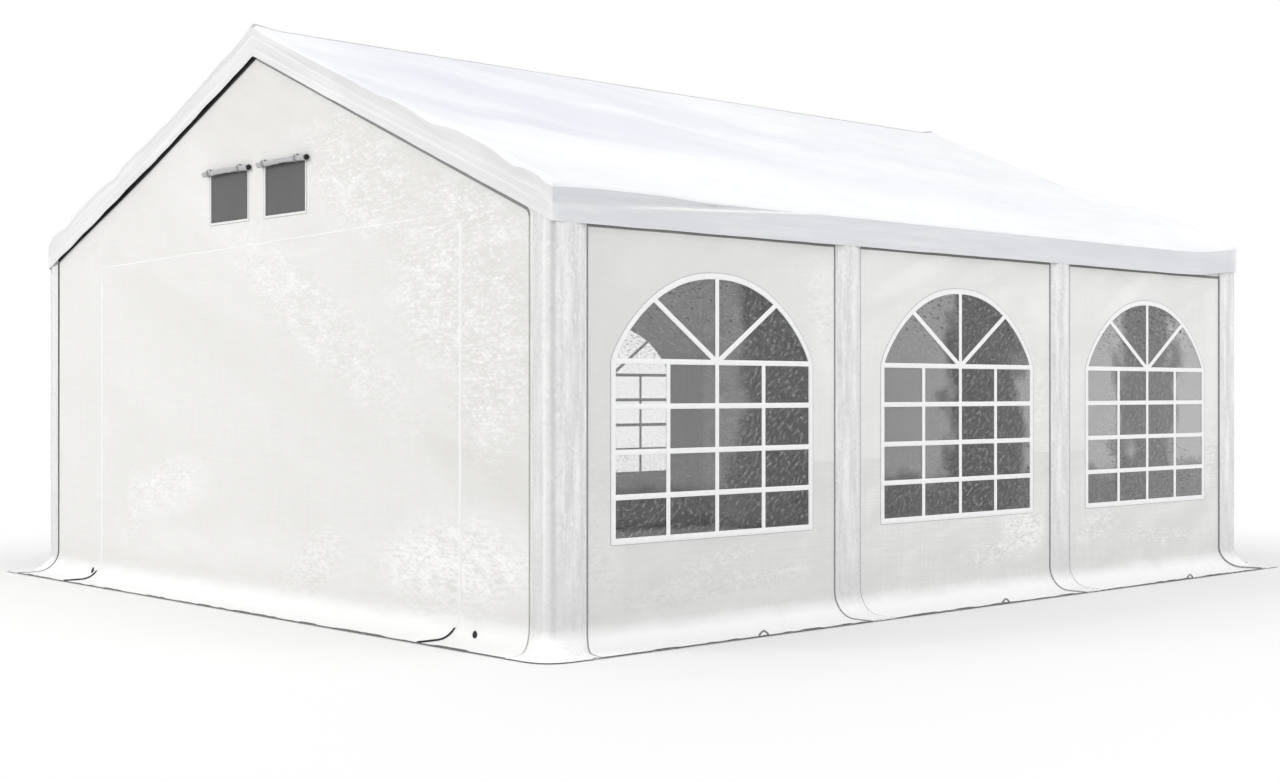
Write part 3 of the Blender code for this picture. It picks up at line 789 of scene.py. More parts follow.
def stripTree():
    tree, given, curve = startTree("strip", {"Width": 0.03, "Height": 0.004, "Rounding": 0.0012})
    links = {"Width": given["Width"], "Height": given["Height"]}
    section = addNode(tree, "GeometryNodeCurvePrimitiveQuadrilateral", links)
    links = {"Curve": section.outputs[0], "Radius": given["Rounding"]}
    rounded = addNode(tree, "GeometryNodeFilletCurve", links, mode="POLY")
    return sweptTree(tree, given, curve, connect(rounded, {"Count": 2}))


def rodTree():
    tree, given, curve = startTree("rod", {"Radius": 0.003})
    links = {"Resolution": 8, "Radius": given["Radius"]}
    return sweptTree(tree, given, curve, addNode(tree, "GeometryNodeCurvePrimitiveCircle", links))


def rowTree(name, sizes, shapeKind, shapeValues):
    # one small shape again and again along the paths, every second one moved by Offset across the path
    tree, given, curve = startTree(name, sizes)
    links = {"Curve": curve, "Length": given["Pitch"]}
    spots = addNode(tree, "GeometryNodeCurveToPoints", links, mode="LENGTH").outputs
    index = addNode(tree, "GeometryNodeInputIndex").outputs[0]
    odd = calculated("SUBTRACT", product(calculated("MODULO", index, 2.0), 2.0), 1.0)
    links = {0: spots["Normal"], "Scale": product(odd, given["Offset"])}
    across = addNode(tree, "ShaderNodeVectorMath", links, operation="SCALE").outputs[0]
    moved = addNode(tree, "GeometryNodeSetPosition", {"Geometry": spots[0], "Offset": across}).outputs[0]
    shape = addNode(tree, shapeKind, shapeValues).outputs[0]
    links = {0: given["Width"], 1: given["Height"], 2: given["Length"]}
    size = addNode(tree, "ShaderNodeCombineXYZ", links).outputs[0]
    links = {"Points": moved, "Instance": shape, "Rotation": spots["Rotation"], "Scale": size}
    return endTree(tree, given, addNode(tree, "GeometryNodeInstanceOnPoints", links).outputs[0])


strips = stripTree()
rods = rodTree()
stitches = rowTree("stitches", {"Pitch": 0.012, "Offset": 0.0, "Width": 0.0016, "Height": 0.0008, "Length": 0.0042},
                   "GeometryNodeMeshIcoSphere", {"Radius": 1.0, "Subdivisions": 1})
zipTeeth = rowTree("zipTeeth", {"Pitch": 0.0045, "Offset": 0.0022, "Width": 0.006, "Height": 0.0030, "Length": 0.0026},
                   "GeometryNodeMeshCube", {"Size": (1.0, 1.0, 1.0)})


def growTrim(name, tree, paths, sizes, finish, place):
    # paths are lines, or (line, True) where closed, in (along, up, off the surface); place takes them to the object
    spots, edges = [], []
    for path in paths:
        line, closed = path if isinstance(path, tuple) else (path, False)
        start = len(spots)
        spots += [tuple(map(float, spot)) for spot in line]
        edges += [(start + i, start + i + 1) for i in range(len(line) - 1)]
        if closed:
            edges.append((len(spots) - 1, start))
    mesh = bpy.data.meshes.new(name)
    mesh.from_pydata(spots, edges, [])
    helper = bpy.data.objects.new(name + "Paths", mesh)
    tentCollection.objects.link(helper)
    modifier = helper.modifiers.new("trim", "NODES")
    modifier.node_group = tree
    sockets = {item.name: item.identifier for item in tree.interface.items_tree if item.in_out == "INPUT"}
    for label, value in {**sizes, "Finish": finishes[finish]}.items():
        modifier[sockets[label]] = value
    grown = bpy.data.meshes.new_from_object(helper.evaluated_get(bpy.context.evaluated_depsgraph_get()))
    bpy.data.objects.remove(helper)
    grown.name = name
    flat = np.empty(len(grown.vertices) * 3)
    grown.vertices.foreach_get("co", flat)
    grown.vertices.foreach_set("co", place(*flat.reshape(-1, 3).T).ravel())
    return finishedPiece(name, grown, trimSharp)


def growRods(name, paths, radius, finish, place):
    return growTrim(name, rods, paths, {"Radius": radius}, finish, place)


def growStrips(name, paths, section, finish, place):
    sizes = dict(zip(("Width", "Height", "Rounding"), section))
    return growTrim(name, strips, paths, sizes, finish, place)


def growStitches(name, paths, place):
    return growTrim(name, stitches, paths, {}, "whiteThread", place)


# Modelled trims

trimSharp = 40  # degrees; steeper edges are sharp


def finishedPiece(name, mesh, sharp):
    build = bmesh.new()
    build.from_mesh(mesh)
    bmesh.ops.recalc_face_normals(build, faces=build.faces)
    build.to_mesh(mesh)
    build.free()
    mesh.shade_smooth()
    mesh.set_sharp_from_angle(angle=math.radians(sharp))
    return newPiece(name, mesh)


def closedPiece(name, points, faces, finish, sharp=trimSharp, core=None, coreFaces=()):
    # core is the finish of the last faces, coreFaces
    mesh = bpy.data.meshes.new(name)
    mesh.from_pydata(points.tolist(), [], [*faces, *coreFaces])
    for material in filter(None, (finish, core)):
        mesh.materials.append(finishes[material])
    mesh.polygons.foreach_set("material_index", np.repeat((0, 1), (len(faces), len(coreFaces))).astype(np.int32))
    return finishedPiece(name, mesh, sharp)


def sweptFaces(rings, count, start=0, closed=True):
    # faces between rings of count points each, and from the last ring back to the first
    faces = []
    for ring in range(rings):
        here, after = start + ring * count, start + (ring + 1) % rings * count
        faces += [(here + i, after + i, after + (i + 1) % count, here + (i + 1) % count)
                  for i in range(count if closed else count - 1)]
    return faces


def withHeight(line, w):
    line = np.asarray(line, float)
    return np.column_stack((line, np.full(len(line), w)))


def straight(start, end, step=0.03):
    start, end = np.asarray(start, float), np.asarray(end, float)
    count = max(2, math.ceil(np.linalg.norm(end - start) / step) + 1)
    return start + (end - start) * np.linspace(0, 1, count)[:, None]


def straightAt(start, end, w, step=0.03):
    return withHeight(straight(start, end, step), w)


ribbonSection = ((-1.0, -0.0010), (-0.9, 0.0006), (0.9, 0.0006), (1.0, -0.0010))  # in half widths, and metres up


def ribbon(name, line, widths, w, finish, place):
    # a flat strip along a line, as wide at each point as widths says; here each is a painted shadow line
    run = np.gradient(line, axis=0)
    run /= np.linalg.norm(run, axis=1, keepdims=True)
    across = np.column_stack((-run[:, 1], run[:, 0])) * (np.zeros(len(line)) + widths)[:, None] / 2
    spots = np.vstack([withHeight(line + across * side, w + rise) for side, rise in ribbonSection])
    rings, count = len(ribbonSection), len(line)
    ends = [tuple(end + ring * count for ring in range(rings)) for end in (0, count - 1)]
    return closedPiece(name, place(*spots.T), sweptFaces(rings, count, closed=False) + ends, finish)


def border(name, loopAt, section, place, finish, sharp=trimSharp):
    # a welded band round an opening; its section is (how far out of the opening, height off the wall)
    spots = np.vstack([withHeight(loopAt(margin), w) for margin, w in section])
    faces = sweptFaces(len(section), len(spots) // len(section))
    return closedPiece(name, place(*spots.T), faces, finish, sharp)


# Windows

window = {
    "halfWidth": 0.691, "bottom": 0.508, "spring": 1.361, "rise": 0.42,  # clear opening
    "archPowers": (2.2, 0.8),  # fuller at the crown and flatter at the haunches than an ellipse
    "archSteps": 44, "straightSteps": 24,
    "frameWidth": 0.027,
    "frameSection": ((-0.003, -0.003), (-0.003, 0.0012), (0.003, 0.0026), (0.022, 0.0026), (0.027, 0.0014),
                     (0.027, 0.0002)),
    "frameSharp": 50, "edgeGap": 0.0015, "shadowLineRadius": 0.0017, "seamInset": 0.008,
    "barSection": (0.027, 0.0042, 0.0016), "barLap": 0.004,
    # off the wall, all different so that no two faces lie in each other
    "columnRise": -0.0008, "rowRise": -0.0005, "spokeRise": -0.0006,
    "columns": (-0.34, 0.0, 0.34), "rows": (0.707, 0.922, 1.142, 1.360), "spokeReach": 0.43,
    "filmBehind": 0.0033, "filmLap": 0.020, "filmStep": 0.030, "filmRipple": 0.0014,
    "filmFolds": ((0.22, 0.09, 70, 1.0, 0), (0.10, 0.06, 15, 0.6, 1)),
}


def archHeight(offset, margin=0.0):
    outer, inner = window["archPowers"]
    t = np.clip(np.abs(offset) / (window["halfWidth"] + margin), 0, 1)
    return window["spring"] + (window["rise"] + margin) * (1 - t**outer) ** inner


def windowLoop(middle, margin=0.0):
    half = window["halfWidth"] + margin
    spring, bottom = window["spring"], window["bottom"] - margin
    offsets = half * np.cos(np.linspace(0, math.pi, window["archSteps"] + 1))
    arch = np.column_stack((middle + offsets, archHeight(offsets, margin)))
    left, right = middle - half, middle + half
    corners = ((left, spring), (left, bottom), (right, bottom), (right, spring))
    runs = [np.linspace(start, end, window["straightSteps"] + 1)[1:] for start, end in zip(corners, corners[1:])]
    return np.vstack((arch, *runs))[:-1]


def windowBars(name, middle, place):
    lap, hub, reach = window["barLap"], window["rows"][-1], window["spokeReach"]
    low, edge = window["bottom"] - lap, window["halfWidth"] + lap
    paths = []
    for offset in window["columns"]:
        top = archHeight(0) + lap if offset == 0 else hub
        paths.append(straightAt((middle + offset, low), (middle + offset, top), window["columnRise"]))
    for z in window["rows"]:
        paths.append(straightAt((middle - edge, z), (middle + edge, z), window["rowRise"]))
    for turn in (-1, 1):
        end = (middle + turn * reach, archHeight(reach) + lap / 2)
        paths.append(straightAt((middle, hub), end, window["spokeRise"]))
    growStrips(name, paths, window["barSection"], "weldedWhite", place)


def windowFrame(side, number, middle, place):
    border(f"{side}Frame{number}", lambda margin: windowLoop(middle, margin), window["frameSection"], place,
           "weldedWhite", window["frameSharp"])
    windowBars(f"{side}Bars{number}", middle, place)
    # a painted shadow line round the frame's outer edge
    outer = withHeight(windowLoop(middle, window["frameWidth"] + window["edgeGap"]), 0.0004)
    growRods(f"{side}FrameEdge{number}", [(outer, True)], window["shadowLineRadius"], "palePiping", place)


def windowFilm(side, number, middle, seed):
    lap = window["filmLap"]
    points, faces, area = flatPanel(windowLoop(middle, lap), [], window["filmStep"])
    u, v = points.T
    loop = windowLoop(middle)
    free = smoothStep(distanceTo(points, loop, True), 0, 0.04) * insideLoops(points, [loop])
    ripple = np.clip(layered(folds, u, v, window["filmFolds"], seed), -1, 0.2) * window["filmRipple"]
    spots = toSide(np.column_stack((u, window["filmBehind"] - ripple * free, v)), side)
    tall = window["spring"] + window["rise"] - window["bottom"] + 2 * lap
    thickSheet(f"{side}Film{number}", f"{side}_window_film_{number}", "film", spots, faces, points,
               flat=(2 * (window["halfWidth"] + lap), tall), held="stretched", area=area, rests_on=())


# Side walls

bayLook = {
    "underPost": 0.105, "underCorner": (2.868, 2.908),  # where the covers' edges lie, the corner ones front and back
    # how far, and over what length, a corner cover's foot is drawn in
    "gatheredSide": 0.66, "gatheredEnd": 0.88, "gatherRun": 0.34,
    "shadowLineRadii": {1: (0.0042, 0.0038), 2: (0.0027, 0.0044), 3: (0.0030, 0.0062)},  # radii at each bay's front and back
    "shadowLineRise": 0.0016, "topLine": 1.999, "topBinding": (0.018, 0.0012),  # height, then width and height
    "hemShadowRadius": 0.0030, "hemSeam": 0.028, "seamEnd": 0.020,
    "calmRound": 0.05, "calmBeside": 0.10,  # how far past a window and a cover's edge the sheet is flat
}


def edgeLine(edge, corner, gathered, top):
    # where a cover's edge lies; a corner cover narrows towards the end of its skirt
    line = straight((edge, top), (edge, skirtEdge + 0.004), 0.02)
    if corner is not None:
        line[:, 0] += (corner - edge) * gathered * smoothStep(tent["flareTop"] - line[:, 1], 0.0, bayLook["gatherRun"])
    return line


def bayEdges(turn, number):
    # covers' edges over a bay: place, the corner it is gathered to, and the radius of the painted shadow line beside
    # it
    near, far = tent["lines"][number - 1:number + 1]
    edges = [(near + bayLook["underPost"], None), (far - bayLook["underPost"], None)]
    if number == 1:
        edges[0] = (-bayLook["underCorner"][0], -tent["endFace"])
    elif number == 3:
        edges[1] = (bayLook["underCorner"][1], tent["endFace"])
    edges = [(turn * edge, corner and turn * corner, radius)
             for (edge, corner), radius in zip(edges, bayLook["shadowLineRadii"][number])]
    return sorted(edges, key=lambda edge: edge[0])


def sideWall(side, number, middle, edges, ends, seed):
    top, (start, end) = tent["wallTop"], ends
    (freeStart, _, _), (freeEnd, _, _) = edges
    outline = [(start, skirtEdge), (end, skirtEdge), (end, top), (start, top)]
    points, faces, area = flatPanel(outline, [windowLoop(middle)], wallLook["step"])
    calm = bayLook["calmBeside"]
    lines = [np.array([(start, top), (end, top)])]
    lines += uprights((freeStart, freeStart - calm, freeEnd, freeEnd + calm))
    place = wallSurface(side, [windowLoop(middle, bayLook["calmRound"])], lines, seed)
    u, v = points.T
    spots = place(u, v)
    out, z, *_ = downTheWall(v)
    covered = (u < freeStart) | (u > freeEnd)
    spots[covered] = toSide(np.column_stack((u, -out, z)), side)[covered]
    thickSheet(f"{side}Wall{number}", f"{side}_wall_{number}", "wall", spots, faces, points,
               flat=(end - start, top - skirtEdge), held="hung", area=area, rests_on=[f"{side}_eave_tube_{number}"])
    return place


def sideTrims(side, number, middle, edges, ends, place):
    # painted shadow lines beside the covers, along the foot of the valance and round the skirt
    top, rise = tent["eave"] - tent["bandDrop"] + 0.01, bayLook["shadowLineRise"]
    for order, (edge, corner, radius) in enumerate(edges, start=1):
        # a thick one lies higher, to stay off the ground
        line = withHeight(edgeLine(edge, corner, bayLook["gatheredSide"], top), max(rise, radius - 0.0026))
        growRods(f"{side}Piping{number}.{order}", [line], radius, "greyShadowLinesAndHooks", place)
    freeStart, freeEnd = edges[0][0], edges[1][0]
    # a painted shadow line under the valance's foot
    topLine = straight((freeStart, bayLook["topLine"]), (freeEnd, bayLook["topLine"]), 0.04)
    ribbon(f"{side}TopBinding{number}", topLine, *bayLook["topBinding"], "topBinding", place)
    # a painted shadow line along the skirt's edge
    hemLine = straightAt((ends[0], skirtEdge), (ends[1], skirtEdge), rise)
    growRods(f"{side}HemCord{number}", [hemLine], bayLook["hemShadowRadius"], "darkShadowLine", place)
    hem, end = skirtEdge + bayLook["hemSeam"], bayLook["seamEnd"]
    seams = [(withHeight(windowLoop(middle, window["frameWidth"] - window["seamInset"]), 0.0026), True),
             straightAt((freeStart + end, hem), (freeEnd - end, hem), 0.0002)]
    growStitches(f"{side}Stitches{number}", seams, place)


def sideBay(side, number, seed):
    turn, end = outwards[side], tent["wallEnd"]
    near, far = tent["lines"][number - 1:number + 1]
    ends = sorted((turn * (near + end), turn * (far - end)))
    middle = turn * tent["bay"] * (number - 2)
    edges = bayEdges(turn, number)
    place = sideWall(side, number, middle, edges, ends, seed)
    windowFrame(side, number, middle, place)
    windowFilm(side, number, middle, seed + 40)
    sideTrims(side, number, middle, edges, ends, place)


for order, sideName in enumerate(("right", "left")):
    for bayNumber in (1, 2, 3):
        sideBay(sideName, bayNumber, 100 + 300 * order + 60 * bayNumber)
print("side walls hung")


# Gables, with the door that is zipped in and the two vents

gableLook = {
    "halfWidth": 2.6084, "underCover": (2.551, 2.459),  # where the corner covers' edges lie, left and right
    "calmBeside": 0.09, "calmRound": 0.02,
    "doorGap": 0.0003, "tapes": (0.023, 0.0012, 0.0004), "zipTop": (-0.080, -0.010), "zipEnd": 0.030,
    "doorSeam": (0.006, 0.0012, 0.0004), "seamTilt": 0.040,  # how much the seam falls and rises towards its ends
    "slitTop": 0.045, "slitRise": 0.0042, "slitRadius": 0.0052,
}
ventLook = {
    "width": 0.42, "height": 0.285, "bottom": 2.205, "middles": (-0.305, 0.305),
    "netLap": 0.022, "netBehind": 0.0034, "netStep": 0.030,
    "border": 0.012, "section": ((-0.002, -0.003), (-0.002, 0.001), (0.002, 0.002), (0.010, 0.002), (0.012, 0.0012),
                                 (0.012, 0.0002)),
    "shadowLineRadius": 0.0020, "seamInset": 0.005,
}
rollLook = {
    "length": 0.50, "flap": 0.21, "cut": 0.22,  # the flap's length on the roll and as it was cut
    "radius": 0.0195, "height": 2.501, "turns": 3.1, "rows": 110, "columns": 46,
    "inner": 0.0045, "slack": 0.0007, "offWall": 0.0008, "sag": 0.004,
    "straps": (-0.19, 0.15), "pinch": 0.10, "pinchHalf": 0.02,
    "strapSection": ((-0.011, 0.0), (-0.009, 0.0016), (0.009, 0.0016), (0.011, 0.0), (0.0, -0.0006)),
    "strapSteps": 28, "strapGap": 0.0004, "strapOut": 0.0010,
    "endShadeRadius": 0.0160, "endShadeOut": 0.0170, "endShadeEnds": (-0.96, 1),
}
# Painted shadow lines under the rake bands and down both edges: how far above the bands' foot, widths, height
shadowLineLook = {
    "leftAbove": (0.0155, 0.0085), "leftWidths": (0.033, 0.047), "leftRise": 0.003,
    "leftEdgeWidths": (0.020, 0.007), "leftEdgeRise": 0.0015,
    "rightBelow": 0.017, "rightWidth": 0.0095, "rightWider": 0.005, "rightThinned": 0.40,
    "rightInset": 0.004, "rightEdgeWidth": 0.0075, "rightRise": 0.002, "bend": 0.045, "bendSteps": 9,
}


def cornerLift(x):
    # the roof's corner at a gable's left lies this much higher
    return 0.041 * smoothStep(np.abs(x), 1.1, 2.75)


def underRidge(x, drop):
    return tent["ridge"] - drop - slope * abs(x)


def bandFoot(x, above=0.0):
    return underRidge(x, tent["bandDrop"] - above)


def ventLoop(middle, margin=0.0):
    half = ventLook["width"] / 2 + margin
    low, high = ventLook["bottom"] - margin, ventLook["bottom"] + ventLook["height"] + margin
    return np.array([(middle - half, low), (middle + half, low), (middle + half, high), (middle - half, high)])


def ventRoll(side, number, middle, seed):
    # the vent's cover, rolled up on itself, loose at one end and drawn in by its straps
    look = rollLook
    length, rows = look["length"], look["rows"]
    along = np.linspace(-length / 2, length / 2, look["columns"])
    pinched = sum(look["pinch"] * bell(along - at, look["pinchHalf"]) for at in look["straps"])
    grid, flat = [], []
    for t in np.linspace(0, 1, rows):
        angle = t * look["turns"] * 2 * math.pi
        swell = 1 + 0.05 * gradientNoise(along / 0.09, angle / 2.2, seed) - pinched
        radius = (look["inner"] + (look["radius"] - look["inner"] - look["slack"]) * t) * swell
        out = look["radius"] + look["offWall"] + radius * np.cos(angle)
        z = look["height"] - look["sag"] * (along / length * 2) ** 2 + radius * np.sin(angle)
        grid.append(np.column_stack((middle + along, -out, z)))
        flat.append(np.column_stack((along, np.full(len(along), t * look["flap"]))))
    spots, faces = toSide(np.vstack(grid), side), gridFaces(rows, len(along))
    thickSheet(f"{side}VentRoll{number}", f"{side}_vent_roll_{number}", "roll", spots, faces, np.vstack(flat),
               flat=(length, look["cut"]), held="folded", rests_on=[f"{side}Gable"])


def ventStraps(side, number, middle):
    # a flat ring round the roll and its tail, at each strap
    look = rollLook
    angles = np.linspace(0, 2 * math.pi, look["strapSteps"], endpoint=False)
    squeezed = np.where(np.cos(angles) > -0.6, 1, 0.98)
    faces, spots = [], []
    for offset in look["straps"]:
        faces += sweptFaces(len(look["strapSection"]), len(angles), sum(map(len, spots)))
        for across, rise in look["strapSection"]:
            radius = (look["radius"] + look["strapGap"] + rise) * squeezed
            out = np.maximum(look["radius"] + look["strapOut"] + radius * np.cos(angles), -0.0002)
            z = look["height"] + radius * np.sin(angles)
            spots.append(np.column_stack((np.full(len(angles), middle + offset + across), -out, z)))
    closedPiece(f"{side}VentStraps{number}", toSide(np.vstack(spots), side), faces, "strapWebbing")


def vent(side, number, middle, place, seed):
    lap = ventLook["netLap"]
    points, faces, area = flatPanel(ventLoop(middle, lap), [], ventLook["netStep"])
    spots = toSide(np.column_stack((points[:, 0], np.full(len(points), ventLook["netBehind"]), points[:, 1])), side)
    size = np.ptp(ventLoop(middle, lap), axis=0)
    thickSheet(f"{side}VentNet{number}", f"{side}_vent_screen_{number}", "net", spots, faces, points,
               flat=tuple(map(float, size)), held="stretched", area=area, rests_on=[f"{side}Gable"])
    border(f"{side}VentBorder{number}", lambda margin: ventLoop(middle, margin), ventLook["section"], place,
           "paleBorder")
    # a painted shadow line round the border
    rim = withHeight(divideLoop(ventLoop(middle, ventLook["border"] + 0.001), 0.05), 0.0004)
    growRods(f"{side}VentEdge{number}", [(rim, True)], ventLook["shadowLineRadius"], "palePiping", place)
    ventRoll(side, number, middle, seed + 70 + number)
    ventStraps(side, number, middle)
    # a black rod inside the roll: painted shade seen in the roll's open end
    half, out, z = rollLook["length"] / 2 + 0.001, rollLook["endShadeOut"], rollLook["height"] - rollLook["sag"]
    axis = np.array([(middle + end * half, -out, z) for end in rollLook["endShadeEnds"]])
    growRods(f"{side}VentRollCore{number}", [axis], rollLook["endShadeRadius"], "blackHole",
             lambda *spot: toSide(np.column_stack(spot), side))


def gableWall(side, seed):
    half, doorHalf, doorTop = gableLook["halfWidth"], tent["doorHalf"], tent["doorTop"]
    edgeTop, apex = (underRidge(x, tent["gableDrop"]) for x in (half, 0))
    outline = [(-half, skirtEdge), (-doorHalf, skirtEdge), (-doorHalf, doorTop), (doorHalf, doorTop),
               (doorHalf, skirtEdge), (half, skirtEdge), (half, edgeTop), (0, apex), (-half, edgeTop)]
    middles = ventLook["middles"]
    points, faces, area = flatPanel(outline, [ventLoop(middle) for middle in middles], wallLook["step"])
    below = skirtEdge - 0.1
    lines = [np.array([(-doorHalf, below), (-doorHalf, doorTop), (doorHalf, doorTop), (doorHalf, below)])]
    (left, right), calm = gableLook["underCover"], gableLook["calmBeside"]
    lines += uprights((-left, -left - calm, right, right + calm))
    lines.append(np.array([(-half, bandFoot(half)), (0, bandFoot(0)), (half, bandFoot(half))]))
    place = wallSurface(side, [ventLoop(middle, gableLook["calmRound"]) for middle in middles], lines, seed)
    portalNumber = 1 if side == "front" else 4
    thickSheet(f"{side}Gable", f"{side}_gable_wall", "gable", place(*points.T), faces, points,
               flat=(2 * half, apex - skirtEdge), held="hung", area=area, rests_on=[f"frame_portal_{portalNumber}"])
    return place


def door(side, place):
    gap, doorHalf, doorTop = gableLook["doorGap"], tent["doorHalf"], tent["doorTop"]
    edge, high = doorHalf - gap, doorTop - gap
    outline = [(-edge, skirtEdge), (edge, skirtEdge), (edge, high), (-edge, high)]
    points, faces, area = flatPanel(outline, [], wallLook["step"])
    thickSheet(f"{side}Door", f"{side}_door_sheet", "gable", place(*points.T), faces, points,
               flat=(2 * edge, high - skirtEdge), held="hung", area=area, rests_on=[f"{side}Gable"])
    # zips down both edges, and a welded seam over it
    edges = [straight((turn * doorHalf, doorTop + top), (turn * doorHalf, gableLook["zipEnd"]), 0.02)
             for turn, top in zip((-1, 1), gableLook["zipTop"])]
    tapes = [withHeight(line, 0.0006) for line in edges]
    growStrips(f"{side}ZipTapes", tapes, gableLook["tapes"], "weldedWhite", place)
    growTrim(f"{side}ZipTeeth", zipTeeth, [withHeight(line, 0.0022) for line in edges], {}, "zipNylon", place)
    tilt = gableLook["seamTilt"]
    seam = straightAt((-doorHalf, doorTop - tilt), (doorHalf, doorTop + tilt), 0.0005)
    growStrips(f"{side}DoorSeam", [seam], gableLook["doorSeam"], "paleSeam", place)
    # painted shadow lines down the slits beside the door
    slits = [straightAt((x, gableLook["slitTop"]), (x, skirtEdge + 0.003), gableLook["slitRise"], 0.01)
             for x in (-doorHalf, doorHalf)]
    growRods(f"{side}SlitShadowLine", slits, gableLook["slitRadius"], "darkPiping", place)


def leftShadowLines(side, place):
    look, edge = shadowLineLook, -gableLook["underCover"][0]
    low, high = look["leftAbove"]
    rake = straight((edge, bandFoot(edge, low)), (0, bandFoot(0, high)), 0.05)
    rake[:, 1] += cornerLift(rake[:, 0])
    widths = np.linspace(*look["leftWidths"], len(rake))
    ribbon(f"{side}RakeShadowLine1", rake, widths, look["leftRise"], "darkPiping", place)
    upright = edgeLine(edge, -tent["sideFace"], bayLook["gatheredEnd"], bandFoot(edge))
    upright[:, 1] += cornerLift(edge) * smoothStep(upright[:, 1], 0.5, bandFoot(edge))
    widths = np.linspace(*look["leftEdgeWidths"], len(upright))
    ribbon(f"{side}EdgeShadowLine1", upright, widths, look["leftEdgeRise"], "darkPiping", place)


def rightShadowLines(side, place):
    # the rake's one turns towards the upright
    look, edge = shadowLineLook, gableLook["underCover"][1]
    bend, below, pitch = look["bend"], -look["rightBelow"], math.atan(slope)
    x = edge - look["rightInset"] - bend
    z = bandFoot(edge, below) - bend * math.tan((math.pi / 2 - pitch) / 2)
    arc = [(x + bend * math.sin(angle), z + bend * math.cos(angle))
           for angle in np.linspace(pitch, math.pi / 2, look["bendSteps"])]
    rake = np.vstack((straight((0, bandFoot(0, below)), arc[0], 0.05)[:-1], arc))
    at, count = np.arange(len(rake)), len(rake)
    widths = look["rightWidth"] + look["rightWider"] * smoothStep(at, 0, 30)
    widths *= 1 - look["rightThinned"] * smoothStep(at, count - look["bendSteps"], count)
    ribbon(f"{side}RakeShadowLine2", rake, widths, look["rightRise"], "greyBinding", place)
    upright = edgeLine(edge - look["rightInset"], tent["sideFace"], bayLook["gatheredEnd"], arc[-1][1])
    ribbon(f"{side}EdgeShadowLine2", upright, look["rightEdgeWidth"], look["rightRise"], "palePiping", place)


def gableHems(side, place):
    marks = (-gableLook["halfWidth"], -tent["doorHalf"], tent["doorHalf"], gableLook["halfWidth"])
    rise = bayLook["shadowLineRise"]
    # painted shadow lines along the skirt's edge
    lines = [straightAt((low, skirtEdge), (high, skirtEdge), rise) for low, high in zip(marks, marks[1:])]
    growRods(f"{side}HemCord", lines, bayLook["hemShadowRadius"], "darkShadowLine", place)
    hem, end, (left, right) = skirtEdge + bayLook["hemSeam"], bayLook["seamEnd"], gableLook["underCover"]
    seams = [straightAt((-left + end, hem), (right - end, hem), 0.0002)]
    for middle in ventLook["middles"]:
        loop = ventLoop(middle, ventLook["border"] - ventLook["seamInset"])
        seams.append((withHeight(divideLoop(loop, 0.02), 0.002), True))
    growStitches(f"{side}Stitches", seams, place)


def gable(side, seed):
    place = gableWall(side, seed)
    door(side, place)
    for number, middle in enumerate(ventLook["middles"], start=1):
        vent(side, number, middle, place, seed)
    leftShadowLines(side, place)
    rightShadowLines(side, place)
    gableHems(side, place)
    return place


gablePlaces = {"front": gable("front", 900), "back": gable("back", 1300)}
print("gables hung")


# Covers over the posts

coverLook = {
    "rows": 130, "standOff": 0.020, "postWidth": 0.21, "postColumns": 24,
    "cornerEnd": {"left": 0.092, "right": 0.184},  # on the gable, as seen from outside
    "cornerSide": {"front": 0.226, "back": 0.186},
    "cornerColumns": (17, 9, 13),  # on the side wall, round the post and on the gable
    "bend": 0.018, "bulge": 0.45,  # radius of the fold round the post, and how square it is
    "leanSide": (0.002, 0.080), "leanEnd": (0.002, 0.066),  # from a cover's edge up to its stand-off
    "tucked": (0.25, 1.985, 2.03),  # share of the stand-off that is lost under the roof's bands, and where
    "lip": 0.005, "edgeLift": 0.0012, "gap": 0.0003, "onGround": (-0.06, 0.004),
    # folds: length, width, turn, height and seed
    "folds": ((0.9, 0.055, 88, 0.0046, 0), (0.35, 0.024, 84, 0.0020, 1), (0.20, 0.05, 62, 0.0018, 2)),
    # painted shade of seams' grooves, with painted highlights where the depth is under 0, beside an edge and past
    # the fold round the post: place, half width and depth
    "edgeGrooveShading": ((0.030, 0.008, 0.7), (0.018, 0.006, -0.6)),
    "bendGrooveShading": ((0.0, 0.009, 1.0), (0.030, 0.015, -1.0), (0.055, 0.006, 0.9)),
}


def coverRelief(s, v, width, bendAt, seed):
    edge = smoothStep(np.minimum(s, width - s), 0.0, 0.03)
    if bendAt is not None:  # tight round the post's edge
        edge *= 1 - 0.8 * bell(s - bendAt, 0.035)
    return np.maximum(layered(folds, s, v, coverLook["folds"], seed) + 0.0016, -0.0008) * edge


def paintedGrooves(s, width, bendAt):
    # painted shade where the depth is over 0, a painted highlight on the crest beside a groove where it is under 0
    found = sum(depth * (bell(s - at, half) + bell(width - s - at, half))
                for at, half, depth in coverLook["edgeGrooveShading"])
    if bendAt is None:
        return 0.5 * found
    return found + sum(depth * bell(s - bendAt - at, half) for at, half, depth in coverLook["bendGrooveShading"])


def markShadeAndHighlight(piece, slack):
    # painted shade and highlights for the material, on both layers of a sheet
    marked = piece.data.attributes.new("slack", "FLOAT", "POINT")
    marked.data.foreach_set("value", np.tile(slack.ravel(), 2).astype(np.float32))


